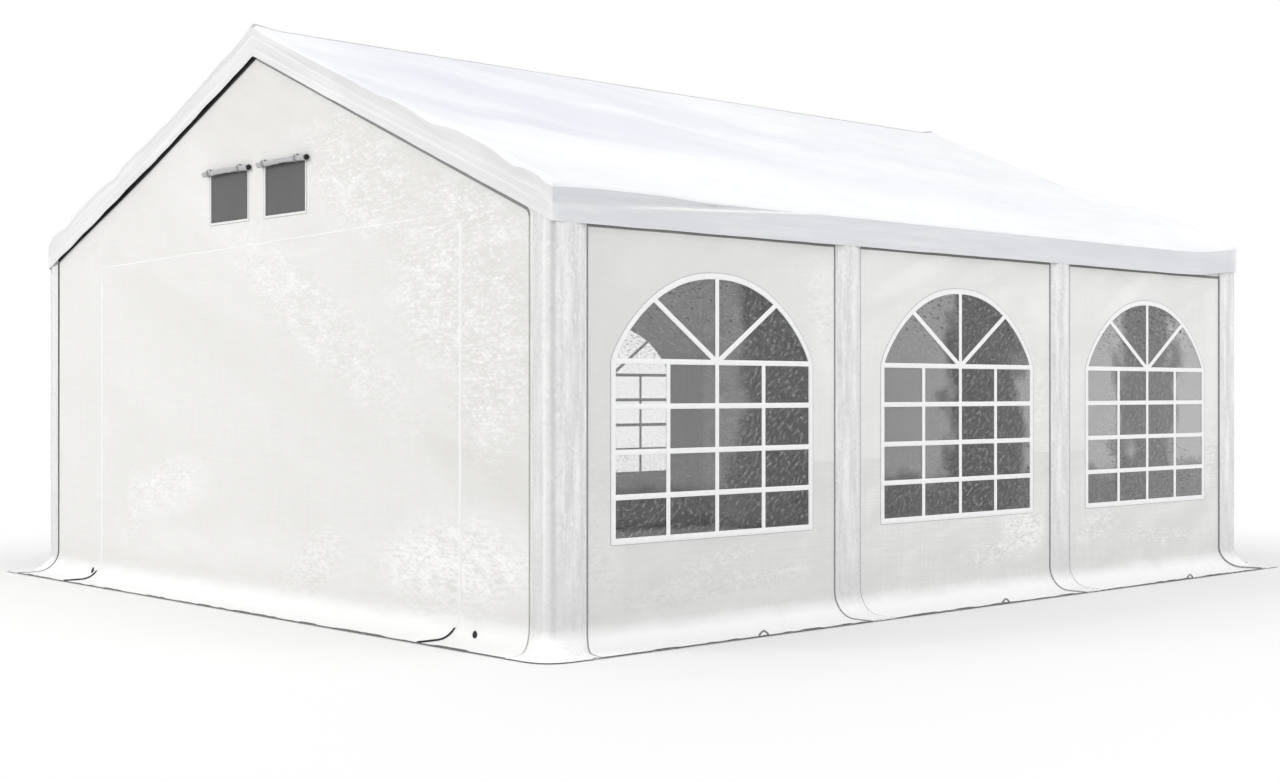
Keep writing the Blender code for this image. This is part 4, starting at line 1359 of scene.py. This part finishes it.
def coverPiece(name, node, stations, seed, rests, corner=None):
    # stations along the cover's width: (x, y, direction x, direction y, stand-off), evenly spaced
    look, stations = coverLook, np.array(stations)
    rows, columns = look["rows"], len(stations)
    s = np.concatenate(((0,), np.cumsum(np.hypot(*np.diff(stations[:, :2], axis=0).T))))
    low = skirtEdge - look["lip"]
    gridV, gridS = np.meshgrid(np.linspace(tent["coverTop"], low, rows), s, indexing="ij")
    out, z, normalOut, normalUp = downTheWall(gridV)
    x, y, directionX, directionY, stand = (np.broadcast_to(column, gridV.shape) for column in stations.T)
    bendAt = None
    if corner is not None:
        # the skirt is gathered towards the corner
        pull = smoothStep(tent["flareTop"] - gridV, 0.0, bayLook["gatherRun"])
        x = np.where(np.abs(directionY) == 1, x + (corner[0] - x) * pull * bayLook["gatheredEnd"], x)
        y = np.where(np.abs(directionX) == 1, y + (corner[1] - y) * pull * bayLook["gatheredSide"], y)
        bendAt = s[np.argmin(np.abs(np.abs(stations[:, 2]) - np.abs(stations[:, 3])))]
    relief = coverRelief(gridS, gridV, s[-1], bendAt, seed)
    onGround, most = look["onGround"]
    relief = np.where(gridV < onGround, np.clip(relief, 0, most), relief)
    share, *tuckedAt = look["tucked"]
    loose = 1 - share * smoothStep(gridV, *tuckedAt)
    lift = look["gap"] + look["edgeLift"] + cloths["cover"][0] + (stand * normalOut + relief) * loose
    reach = out + lift * normalOut
    spots = np.dstack((x + directionX * reach, y + directionY * reach, z + lift * normalUp))
    points, faces = spots.reshape(-1, 3), gridFaces(rows, columns)
    if surfaceNormals(points, faces)[columns // 2, :2] @ stations[columns // 2, 2:4] < 0:
        faces = faces[:, ::-1]
    width = float(np.linalg.norm(np.diff(spots[rows // 3], axis=0), axis=1).sum())
    cover = thickSheet(name, node, "cover", points, faces, np.column_stack((gridS.ravel(), gridV.ravel())),
                       flat=(width, float(tent["coverTop"] - low)), held="hung", rests_on=rests)
    markShadeAndHighlight(cover, paintedGrooves(gridS, s[-1], bendAt))


def leaning(fromEdge, lean):
    return coverLook["standOff"] * float(smoothStep(fromEdge, *coverLook[lean]))


def postCover(side, number, seed):
    turn, width = outwards[side], coverLook["postWidth"]
    stations = [(turn * tent["sideFace"], tent["lines"][number] + offset, turn, 0.0,
                 leaning(width / 2 - abs(offset), "leanEnd"))
                for offset in np.linspace(-width / 2, width / 2, coverLook["postColumns"])]
    rests = [f"{side}Wall{number}", f"{side}Wall{number + 1}"]
    coverPiece(f"{side}PostCover{number}", f"{side}_post_cover_{number}", stations, seed, rests)


def cornerCover(end, side, seed):
    look, turnX, turnY = coverLook, outwards[side], outwards[end]
    sideX, endY, bend = tent["sideFace"], tent["endFace"], coverLook["bend"]
    seenAt = "left" if (end == "front") == (side == "left") else "right"
    sideRun = look["cornerSide"][end] - (tent["halfLength"] - endY) - bend
    endRun = look["cornerEnd"][seenAt] - (tent["halfWidth"] - sideX) - bend
    onSide, onBend, onEnd = look["cornerColumns"]
    stations = [(turnX * sideX, turnY * (endY - bend - sideRun * (1 - t)), turnX, 0.0,
                 leaning(sideRun * t, "leanSide")) for t in np.linspace(0, 1, onSide)[:-1]]
    for angle in np.linspace(0, math.pi / 2, onBend):
        cosine, sine = math.cos(angle), math.sin(angle)
        spreadX, spreadY = (max(part, 1e-9) ** look["bulge"] for part in (cosine, sine))
        stations.append((turnX * (sideX - bend * (1 - cosine)), turnY * (endY - bend * (1 - sine)),
                         turnX * spreadX, turnY * spreadY, look["standOff"]))
    stations += [(turnX * (sideX - bend - endRun * t), turnY * endY, 0.0, turnY, leaning(endRun * (1 - t), "leanEnd"))
                 for t in np.linspace(0, 1, onEnd)[1:]]
    rests = [f"{side}Wall{1 if end == 'front' else 3}", f"{end}Gable"]
    coverPiece(f"{end}{side.capitalize()}CornerCover", f"{end}_{side}_corner_cover", stations, seed, rests,
               (turnX * sideX, turnY * endY))


for order, sideName in enumerate(("right", "left")):
    for postNumber in (1, 2):
        postCover(sideName, postNumber, 2000 + 100 * order + 10 * postNumber)
    for endOrder, endName in enumerate(("front", "back")):
        cornerCover(endName, sideName, 2400 + 100 * order + 10 * endOrder)
print("covers laid")


# Roof: one sheet over the tubes, with a valance over each eave and a band over each rake

roofLook = {
    "columns": 118, "rows": 150, "bandRows": 22, "foldRadius": 0.018, "foldSteps": 5,
    "ridgeRadius": 0.006, "closer": 0.25,  # how much closer the columns lie towards the eaves
    "sag": 0.022, "drape": 0.0130, "fineDrape": 0.0012, "crumple": 0.026, "mirror": 9.0,
    # how far from the ridge, half width and height
    "apexLift": 0.012, "bulges": ((2.06, 0.26, 0.034), (2.50, 0.085, 0.022), (1.45, 0.16, 0.014)),
    "eaveLift": (0.015, -2.65, 0.42, 0.09),  # height, middle, half length and half width
    "drapes": ((1.9, 0.42, 52, 1.0, 3000), (1.6, 0.36, -48, 0.8, 3001)),
    "fineDrapes": ((0.9, 0.15, 66, 1.0, 3002),), "creases": ((2.4, 0.8, 8, 0.7, 3003),),
    "hemWave": 0.0012,
}
bandLook = {
    "swing": 0.0060, "ripple": 0.0040, "unrolled": 0.16,
    # a ledge that runs out of the eave fold in the first bay and down towards the corner
    "ledge": (0.43, -0.29, -2.716, 0.47), "ledgeEdge": 0.08, "pinch": 0.010, "crest": 1.9,
    # two folds along each rake band: share of the fall, swing and its waves, depth
    "rakeFolds": ((0.30, 0.10, 1.1, 0.0, 0.0045), (0.66, 0.07, 1.7, 1.0, 0.0030)),
}


def bayPosition(y):
    # 0 at a portal, 1 half way to the next
    lines = np.array(tent["lines"])
    at = np.clip(np.searchsorted(lines, y) - 1, 0, len(lines) - 2)
    t = np.clip((y - lines[at]) / (lines[at + 1] - lines[at]), 0, 1)
    return 1 - (2 * t - 1) ** 2


def fromEnd(y):
    return tent["roofHalfLength"] - np.abs(y)


def roofRelief(x, y):
    look, bay, aside = roofLook, bayPosition(y), np.abs(x)
    down = aside / tent["roofHalfWidth"]
    across = np.clip(4 * down * (1 - down), 0, 1)
    along = y + np.where(x > 0, 0.0, look["mirror"])
    drape = layered(folds, along, aside, look["drapes"], 0)
    fine = layered(folds, along, aside, look["fineDrapes"], 0) + layered(sharpFolds, along, aside, look["creases"], 0)
    loose = np.clip(bay * 1.6, 0, 1) * smoothStep(across, 0.0, 0.5)
    tight = np.clip(0.0012 * (1 + gradientNoise(x / 0.25, y / 0.12, 3004)), 0, 0.003) * (1 - loose)
    # crumples along the rake folds, more towards the eaves
    low = 0.35 + 0.65 * smoothStep(aside, 1.2, 2.5)
    crumple = 0.12 + gradientNoise(x / 0.24, y * 0 + 0.3, 3005) + 0.4 * gradientNoise(x / 0.07, y / 0.09, 3006)
    crumple = np.clip(crumple, 0, 1.2) * look["crumple"] * bell(fromEnd(y), 0.10) * low
    hanging = (drape * look["drape"] + fine * look["fineDrape"]) * loose
    return hanging - look["sag"] * bay * across**0.7 + tight + crumple


def rakeLift(x, y, fall):
    look = roofLook
    lift = look["apexLift"] * bell(x, 0.07)
    for at, half, height in look["bulges"]:
        lift += height * bell(np.abs(x) - at, half, 4)
    lift *= bell(fromEnd(y), 0.10)
    height, middle, halfLength, halfWidth = look["eaveLift"]
    lift += height * bell(y - middle, halfLength, 4) * bell(tent["roofHalfWidth"] - np.abs(x), halfWidth)
    raised = np.where(x * y > 0, cornerLift(x), 0.0) * bell(fromEnd(y), 0.35)
    return lift * (1 - smoothStep(fall, 0.0, 0.6)) + raised


def bandRelief(along, fall, free, seed):
    # fall runs from 0 at the fold to 1 at the hem
    down, height = fall * bandLook["unrolled"], bandLook["ripple"]
    swing = gradientNoise(along / 0.85, 0.0 * along + 0.5, seed) * bandLook["swing"] * fall
    ripple = folds(along, down, 0.30, 0.16, 80, seed + 1) * height * (0.25 + 0.75 * fall)
    lengthwise = folds(along, down, 1.6, 0.05, 2, seed + 2) * height * 0.9 * smoothStep(fall, 0.0, 0.25)
    return (swing + ripple + lengthwise) * free


def roofGrid():
    # the unrumpled sheet: a grid over both slopes and one down each edge, welded where they meet
    look, bandDrop = roofLook, tent["bandDrop"]
    radius, ends = look["foldRadius"], np.array((tent["roofHalfWidth"], tent["roofHalfLength"]))
    angles = np.linspace(0, math.pi / 2, look["foldSteps"] + 1)
    inset = np.concatenate((radius * (1 - np.sin(angles)), np.zeros(look["bandRows"])))
    below = radius + (bandDrop - radius) * np.linspace(0, 1, look["bandRows"] + 1)[1:]
    drop = np.concatenate((radius * (1 - np.cos(angles)), below))
    even = np.linspace(-1, 1, look["columns"] + 1)
    fractionX = np.sin(even * math.pi / 2) * look["closer"] + even * (1 - look["closer"])
    fractionY = np.linspace(-1, 1, look["rows"] + 1)
    points, flat, faces, kinds = [], [], [], []

    def addGrid(a, b, ring, kind, flip):
        # a and b are plan fractions, ring the step down the fold and band
        start, shape = sum(map(len, points)), ring.shape
        a, b, ring = (np.broadcast_to(part, shape).ravel() for part in (a, b, ring))
        x, y = a * (ends[0] - inset[ring]), b * (ends[1] - inset[ring])
        z = tent["ridge"] - slope * np.sqrt(x * x + look["ridgeRadius"] ** 2) - drop[ring]
        points.append(np.column_stack((x, y, z)))
        length = drop[ring] + (radius - inset[ring]) * 0.5
        onSlope = np.abs(x) * math.sqrt(1 + slope**2)
        flat.append(np.column_stack((np.sign(x) * (onSlope + length * (kind == "valance")),
                                     y + np.sign(y) * length * (kind == "rake"))))
        kinds.append(np.column_stack((np.full(len(x), kind == "valance"), np.full(len(x), kind == "rake"),
                                      drop[ring] / bandDrop)))
        found = gridFaces(*shape)
        faces.append((found[:, ::-1] if flip else found) + start)

    a, b = np.meshgrid(fractionX, fractionY, indexing="ij")
    addGrid(a, b, np.zeros(a.shape, int), "top", False)
    rings = np.arange(len(drop))
    for turn in (-1.0, 1.0):
        b, ring = np.meshgrid(fractionY, rings, indexing="ij")
        addGrid(turn, b, ring, "valance", turn > 0)
        a, ring = np.meshgrid(fractionX, rings, indexing="ij")
        addGrid(a, turn, ring, "rake", turn < 0)
    points, flat, faces, kinds = (np.vstack(part) for part in (points, flat, faces, kinds))
    keys = np.round(points * 1e5).astype(np.int64)
    _, first, index = np.unique(keys, axis=0, return_index=True, return_inverse=True)
    index = index.reshape(-1)
    isValance, isRake = (np.bincount(index, kinds[:, kind], len(first)) > 0 for kind in (0, 1))
    a, b, c = index[faces].T
    faces = index[faces][(a != b) & (b != c) & (a != c)]
    points = points[first]
    if surfaceNormals(points, faces)[np.argmax(points[:, 2]), 2] < 0:
        faces = faces[:, ::-1]
    return points, faces, flat[first], kinds[first, 2], isValance, isRake


def valanceLedge(y, fall):
    # relief of the ledge, the painted shade of its hollow and the painted highlight of its crest
    high, run, start, most = bandLook["ledge"]
    ledge, edge = np.clip(high + run * (y - start), 0.0, most), bandLook["ledgeEdge"]
    hollow = np.where(fall < ledge - edge, fall / np.maximum(ledge - edge, 0.01), (ledge - fall) / edge)
    depth = bandLook["pinch"] * smoothStep(y, -2.75, -2.3) * np.clip(ledge / 0.25, 0, 1)
    shaded = (1 - smoothStep(fall, ledge - 0.02, ledge + 0.03)) * np.clip(ledge / edge, 0, 1)
    crest = bell(fall - ledge - 0.035, 0.032) * smoothStep(y, -2.85, -2.1) * np.clip(ledge / 0.04, 0, 1)
    return np.clip(hollow, 0, 1) * depth, shaded, bandLook["crest"] * crest


def roofPiece():
    points, faces, flat, fall, isValance, isRake = roofGrid()
    x, y, _ = points.T
    aside, onlyRake, onlyValance = tent["roofHalfWidth"] - np.abs(x), isRake & ~isValance, isValance & ~isRake
    top = roofRelief(x, y)
    nearSide, nearEnd = smoothStep(aside, 0, 0.25), smoothStep(fromEnd(y), 0, 0.25)
    valance = bandRelief(y + np.sign(x) * 5, fall, np.clip(bayPosition(y) * 2.2, 0, 1) * nearEnd, 3100)
    rake = bandRelief(x + np.sign(y) * 5, fall, nearSide * smoothStep(np.abs(x), 0, 0.15), 3200)
    rake += top * bell(fall, 0.35)
    dent, shaded, crest = valanceLedge(y, fall)
    valance -= dent
    slack = np.where(isValance, shaded, 0) - np.where(onlyValance, crest, 0)
    # folds along the rake bands with painted highlights beside them, and painted shade over the bands' upper part
    for share, swing, waves, start, depth in bandLook["rakeFolds"]:
        at = share + swing * np.sin(x * waves + start)
        rake -= depth * np.exp(-np.abs(fall - at) / 0.09) * nearSide
        slack -= np.where(isRake, 0.8 * bell(fall - at - 0.05, 0.035) * nearSide, 0)
    half = 0.40 + 0.10 * np.sin(x * 1.1) + 0.06 * gradientNoise(x / 0.4, y * 0, 3400)
    slack += np.where(onlyRake, 0.30 * (1 - smoothStep(fall, half - 0.05, half + 0.05)), 0)
    # the corners' folds catch the light
    slack -= 0.7 * bell(aside + fromEnd(y), 0.035)
    blend = smoothStep(fall, 0.0, 0.12)
    relief = top * (1 - blend) + np.where(onlyValance, valance, np.where(onlyRake, rake, 0)) * blend
    relief = np.where(fall == 0, top, relief)
    points = points + surfaceNormals(points, faces) * relief[:, None]
    wave = roofLook["hemWave"] * gradientNoise((x + y * 1.3) / 0.37, fall, 3300)
    hem = smoothStep(fall, 0.3, 1.0) * wave * np.where(isValance, nearEnd, nearSide)
    points[:, 2] += rakeLift(x, y, fall) + hem
    width = 2 * (tent["roofHalfWidth"] * math.sqrt(1 + slope**2) + tent["bandDrop"])
    length = 2 * (tent["roofHalfLength"] + tent["bandDrop"])
    rests = [f"ridge_tube_{n}" for n in (1, 2, 3)] + [f"frame_portal_{n}" for n in (1, 2, 3, 4)]
    roof = thickSheet("roofCover", "roof_cover", "roof", points, faces, flat, flat=(width, length), held="stretched",
                      area=width * length - 4 * tent["bandDrop"] ** 2, rests_on=rests)
    markShadeAndHighlight(roof, slack)
    # the bands take their own finishes, the roof's sheet painted darker as in shade
    layer = np.zeros(len(roof.data.polygons), np.int32)
    roof.data.polygons.foreach_get("material_index", layer)
    for number, (finish, member) in enumerate((("shadedValanceSheet", isValance), ("shadedRakeSheet", onlyRake)), start=2):
        roof.data.materials.append(finishes[finish])
        layer[:len(faces)][((fall > 0.05)[faces].all(axis=1)) & member[faces].any(axis=1)] = number
    roof.data.polygons.foreach_set("material_index", layer)


roofPiece()
print("roof laid")


# Ground hooks, at the side skirts' edges, and eyelets beside the zips

hookLook = {"radius": 0.0054, "half": 0.033, "foot": 0.0075, "height": 0.019, "inset": 0.018, "steps": 17,
            "places": (-1.92, 0.10, 2.11)}
eyeletLook = {
    "half": 0.018, "tall": 1.30, "lean": 0.80, "steps": 24, "spots": ((-1.98, 0.044), (2.100, 0.025)),
    "rim": ((1.0, 0.0003), (1.03, 0.0020), (1.12, 0.0026), (1.2, 0.0018), (1.22, 0.0003)),  # reach and height
    "hole": ((1.02, 0.0012), (1.02, 0.0001)), "sharp": 35,
}


def groundHooks(side):
    turn, steps = outwards[side], hookLook["steps"]
    edge = turn * (tent["sideFace"] + tent["skirtReach"] - hookLook["inset"])
    across = np.linspace(-1, 1, steps)
    rise = hookLook["foot"] + hookLook["height"] * (1 - np.abs(across) ** 1.5)
    paths = [np.column_stack((np.full(steps, edge), y + hookLook["half"] * across, rise)) for y in hookLook["places"]]
    growRods(f"{side}GroundHooks", paths, hookLook["radius"], "greyShadowLinesAndHooks", lambda *spot: np.column_stack(spot))


def eyelets(side, place):
    # ovals that lean, with a raised rim and a black disc as the hole's painted shade
    look = eyeletLook
    angles = np.linspace(0, 2 * math.pi, look["steps"], endpoint=False)
    points = []

    def addOvals(u, v, section):
        # the ovals' first point
        start = sum(map(len, points))
        for share, w in section:
            up = look["tall"] * look["half"] * share * np.sin(angles)
            across = look["half"] * share * np.cos(angles) - look["lean"] * up
            points.append(withHeight(np.column_stack((u + across, v + up)), w))
        return start

    rims, holes, steps = [], [], look["steps"]
    for u, v in look["spots"]:
        rims += sweptFaces(len(look["rim"]), steps, addOvals(u, v, look["rim"]))
    for u, v in look["spots"]:
        start = addOvals(u, v, look["hole"])
        holes += [tuple(range(start, start + steps)), tuple(range(start + 2 * steps - 1, start + steps - 1, -1))]
        holes += sweptFaces(2, steps, start)[:steps]
    closedPiece(f"{side}Eyelets", place(*np.vstack(points).T), rims, "weldedWhite", look["sharp"],
                "blackHole", holes)


for sideName in ("right", "left"):
    groundHooks(sideName)
for endName, gablePlace in gablePlaces.items():
    eyelets(endName, gablePlace)
print("fixings made")


# Tubes keep their solids
for nodeName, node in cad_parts.items():
    if nodeName.startswith("frame_portal") or "_tube_" in nodeName:
        node.data.materials.clear()
        node.data.materials.append(finishes["galvanisedSteel"])
print("tubes finished")


# Studio

studio = {
    "floorHalf": 45.0, "floorZ": -0.0005, "floorPale": 0.86, "floorRoughness": 0.8,
    "fadeFrom": (2.9, 3.35, 0.0), "fade": (0.6, 3.0),  # the floor glows this far out from the tent's box
    "world": (0.0, 0.8, 0.30, 1.05),  # light by height: from, to, and its strength at each
    "lights": {  # place, target, size, power and colour
        "key": ((-3.5, -12.5, 5.6), (0.0, -1.0, 1.0), 5.0, 422.0, (1.0, 0.985, 0.965)),
        "fill": ((12.6, 4.6, 5.3), (1.0, 0.0, 1.0), 5.0, 234.0, (0.97, 0.985, 1.0)),
        "top": ((3.8, -1.6, 11.0), (0.6, 0.0, 1.5), 8.0, 172.0, (1.0, 1.0, 1.0)),
    },
    # the photo's view, fitted to the tent's corners
    "cameraPlace": (8.965, -8.3993, 1.2124), "cameraTurn": (90.0, 0.0, 47.196),
    "lens": {"sensor_width": 36.0, "lens": 50.298, "shift_y": 0.00104, "clip_end": 200.0},
}


def addToStudio(name, data):
    thing = bpy.data.objects.new(name, data)
    studioCollection.objects.link(thing)
    return thing


def studioFloor():
    mesh = bpy.data.meshes.new("studioFloor")
    half, z, pale = studio["floorHalf"], studio["floorZ"], studio["floorPale"]
    mesh.from_pydata([(-half, -half, z), (half, -half, z), (half, half, z), (-half, half, z)], [], [(0, 1, 2, 3)])
    floor = addToStudio("studioFloor", mesh)
    material, shader, _, place = startMaterial("studioFloor")
    tree = treeOf(place)
    far = place
    steps = (("ABSOLUTE", {}), ("SUBTRACT", {1: studio["fadeFrom"]}), ("MAXIMUM", {1: (0.0, 0.0, 0.0)}))
    for operation, links in steps:
        far = addNode(tree, "ShaderNodeVectorMath", {0: far, **links}, operation=operation).outputs[0]
    far = addNode(tree, "ShaderNodeVectorMath", {0: far}, operation="LENGTH").outputs["Value"]
    connect(shader, {"Base Color": (pale, pale, pale, 1.0), "Roughness": studio["floorRoughness"]})
    glow = addNode(tree, "ShaderNodeEmission", {"Color": (1.0, 1.0, 1.0, 1.0), "Strength": 1.0})
    links = {0: ranged(far, *studio["fade"]), 1: shader.outputs[0], 2: glow.outputs[0]}
    connect(tree.nodes["Material Output"], {"Surface": addNode(tree, "ShaderNodeMixShader", links).outputs[0]})
    mesh.materials.append(material)


def studioWorld():
    # white to the camera, brighter overhead to the tent
    world = bpy.data.worlds.new("studio")
    bpy.context.scene.world = world
    world.use_nodes = True
    tree = world.node_tree
    up = split(addNode(tree, "ShaderNodeTexCoord").outputs["Generated"])[2]
    seen = addNode(tree, "ShaderNodeLightPath").outputs["Is Camera Ray"]
    light = product(calculated("SUBTRACT", 1.0, seen), ranged(up, *studio["world"]))
    strength = calculated("ADD", seen, light)
    connect(tree.nodes["Background"], {"Strength": strength, "Color": (1.0, 1.0, 1.0, 1.0)})


def areaLight(name, place, target, size, power, colour):
    light = bpy.data.lights.new(name, "AREA")
    light.shape = "DISK"
    light.size, light.energy, light.color = size, power, colour
    lamp = addToStudio(name, light)
    lamp.location = place
    lamp.rotation_euler = (Vector(target) - Vector(place)).to_track_quat("-Z", "Y").to_euler()


def photoCamera():
    lens = bpy.data.cameras.new("photoView")
    for key, value in studio["lens"].items():
        setattr(lens, key, value)
    camera = addToStudio("photoView", lens)
    camera.location = studio["cameraPlace"]
    camera.rotation_euler = tuple(map(math.radians, studio["cameraTurn"]))
    bpy.context.scene.camera = camera
    bpy.context.scene.view_settings.view_transform = "Standard"


studioFloor()
studioWorld()
for lightName, values in studio["lights"].items():
    areaLight(lightName, *values)
photoCamera()
print("studio lit")
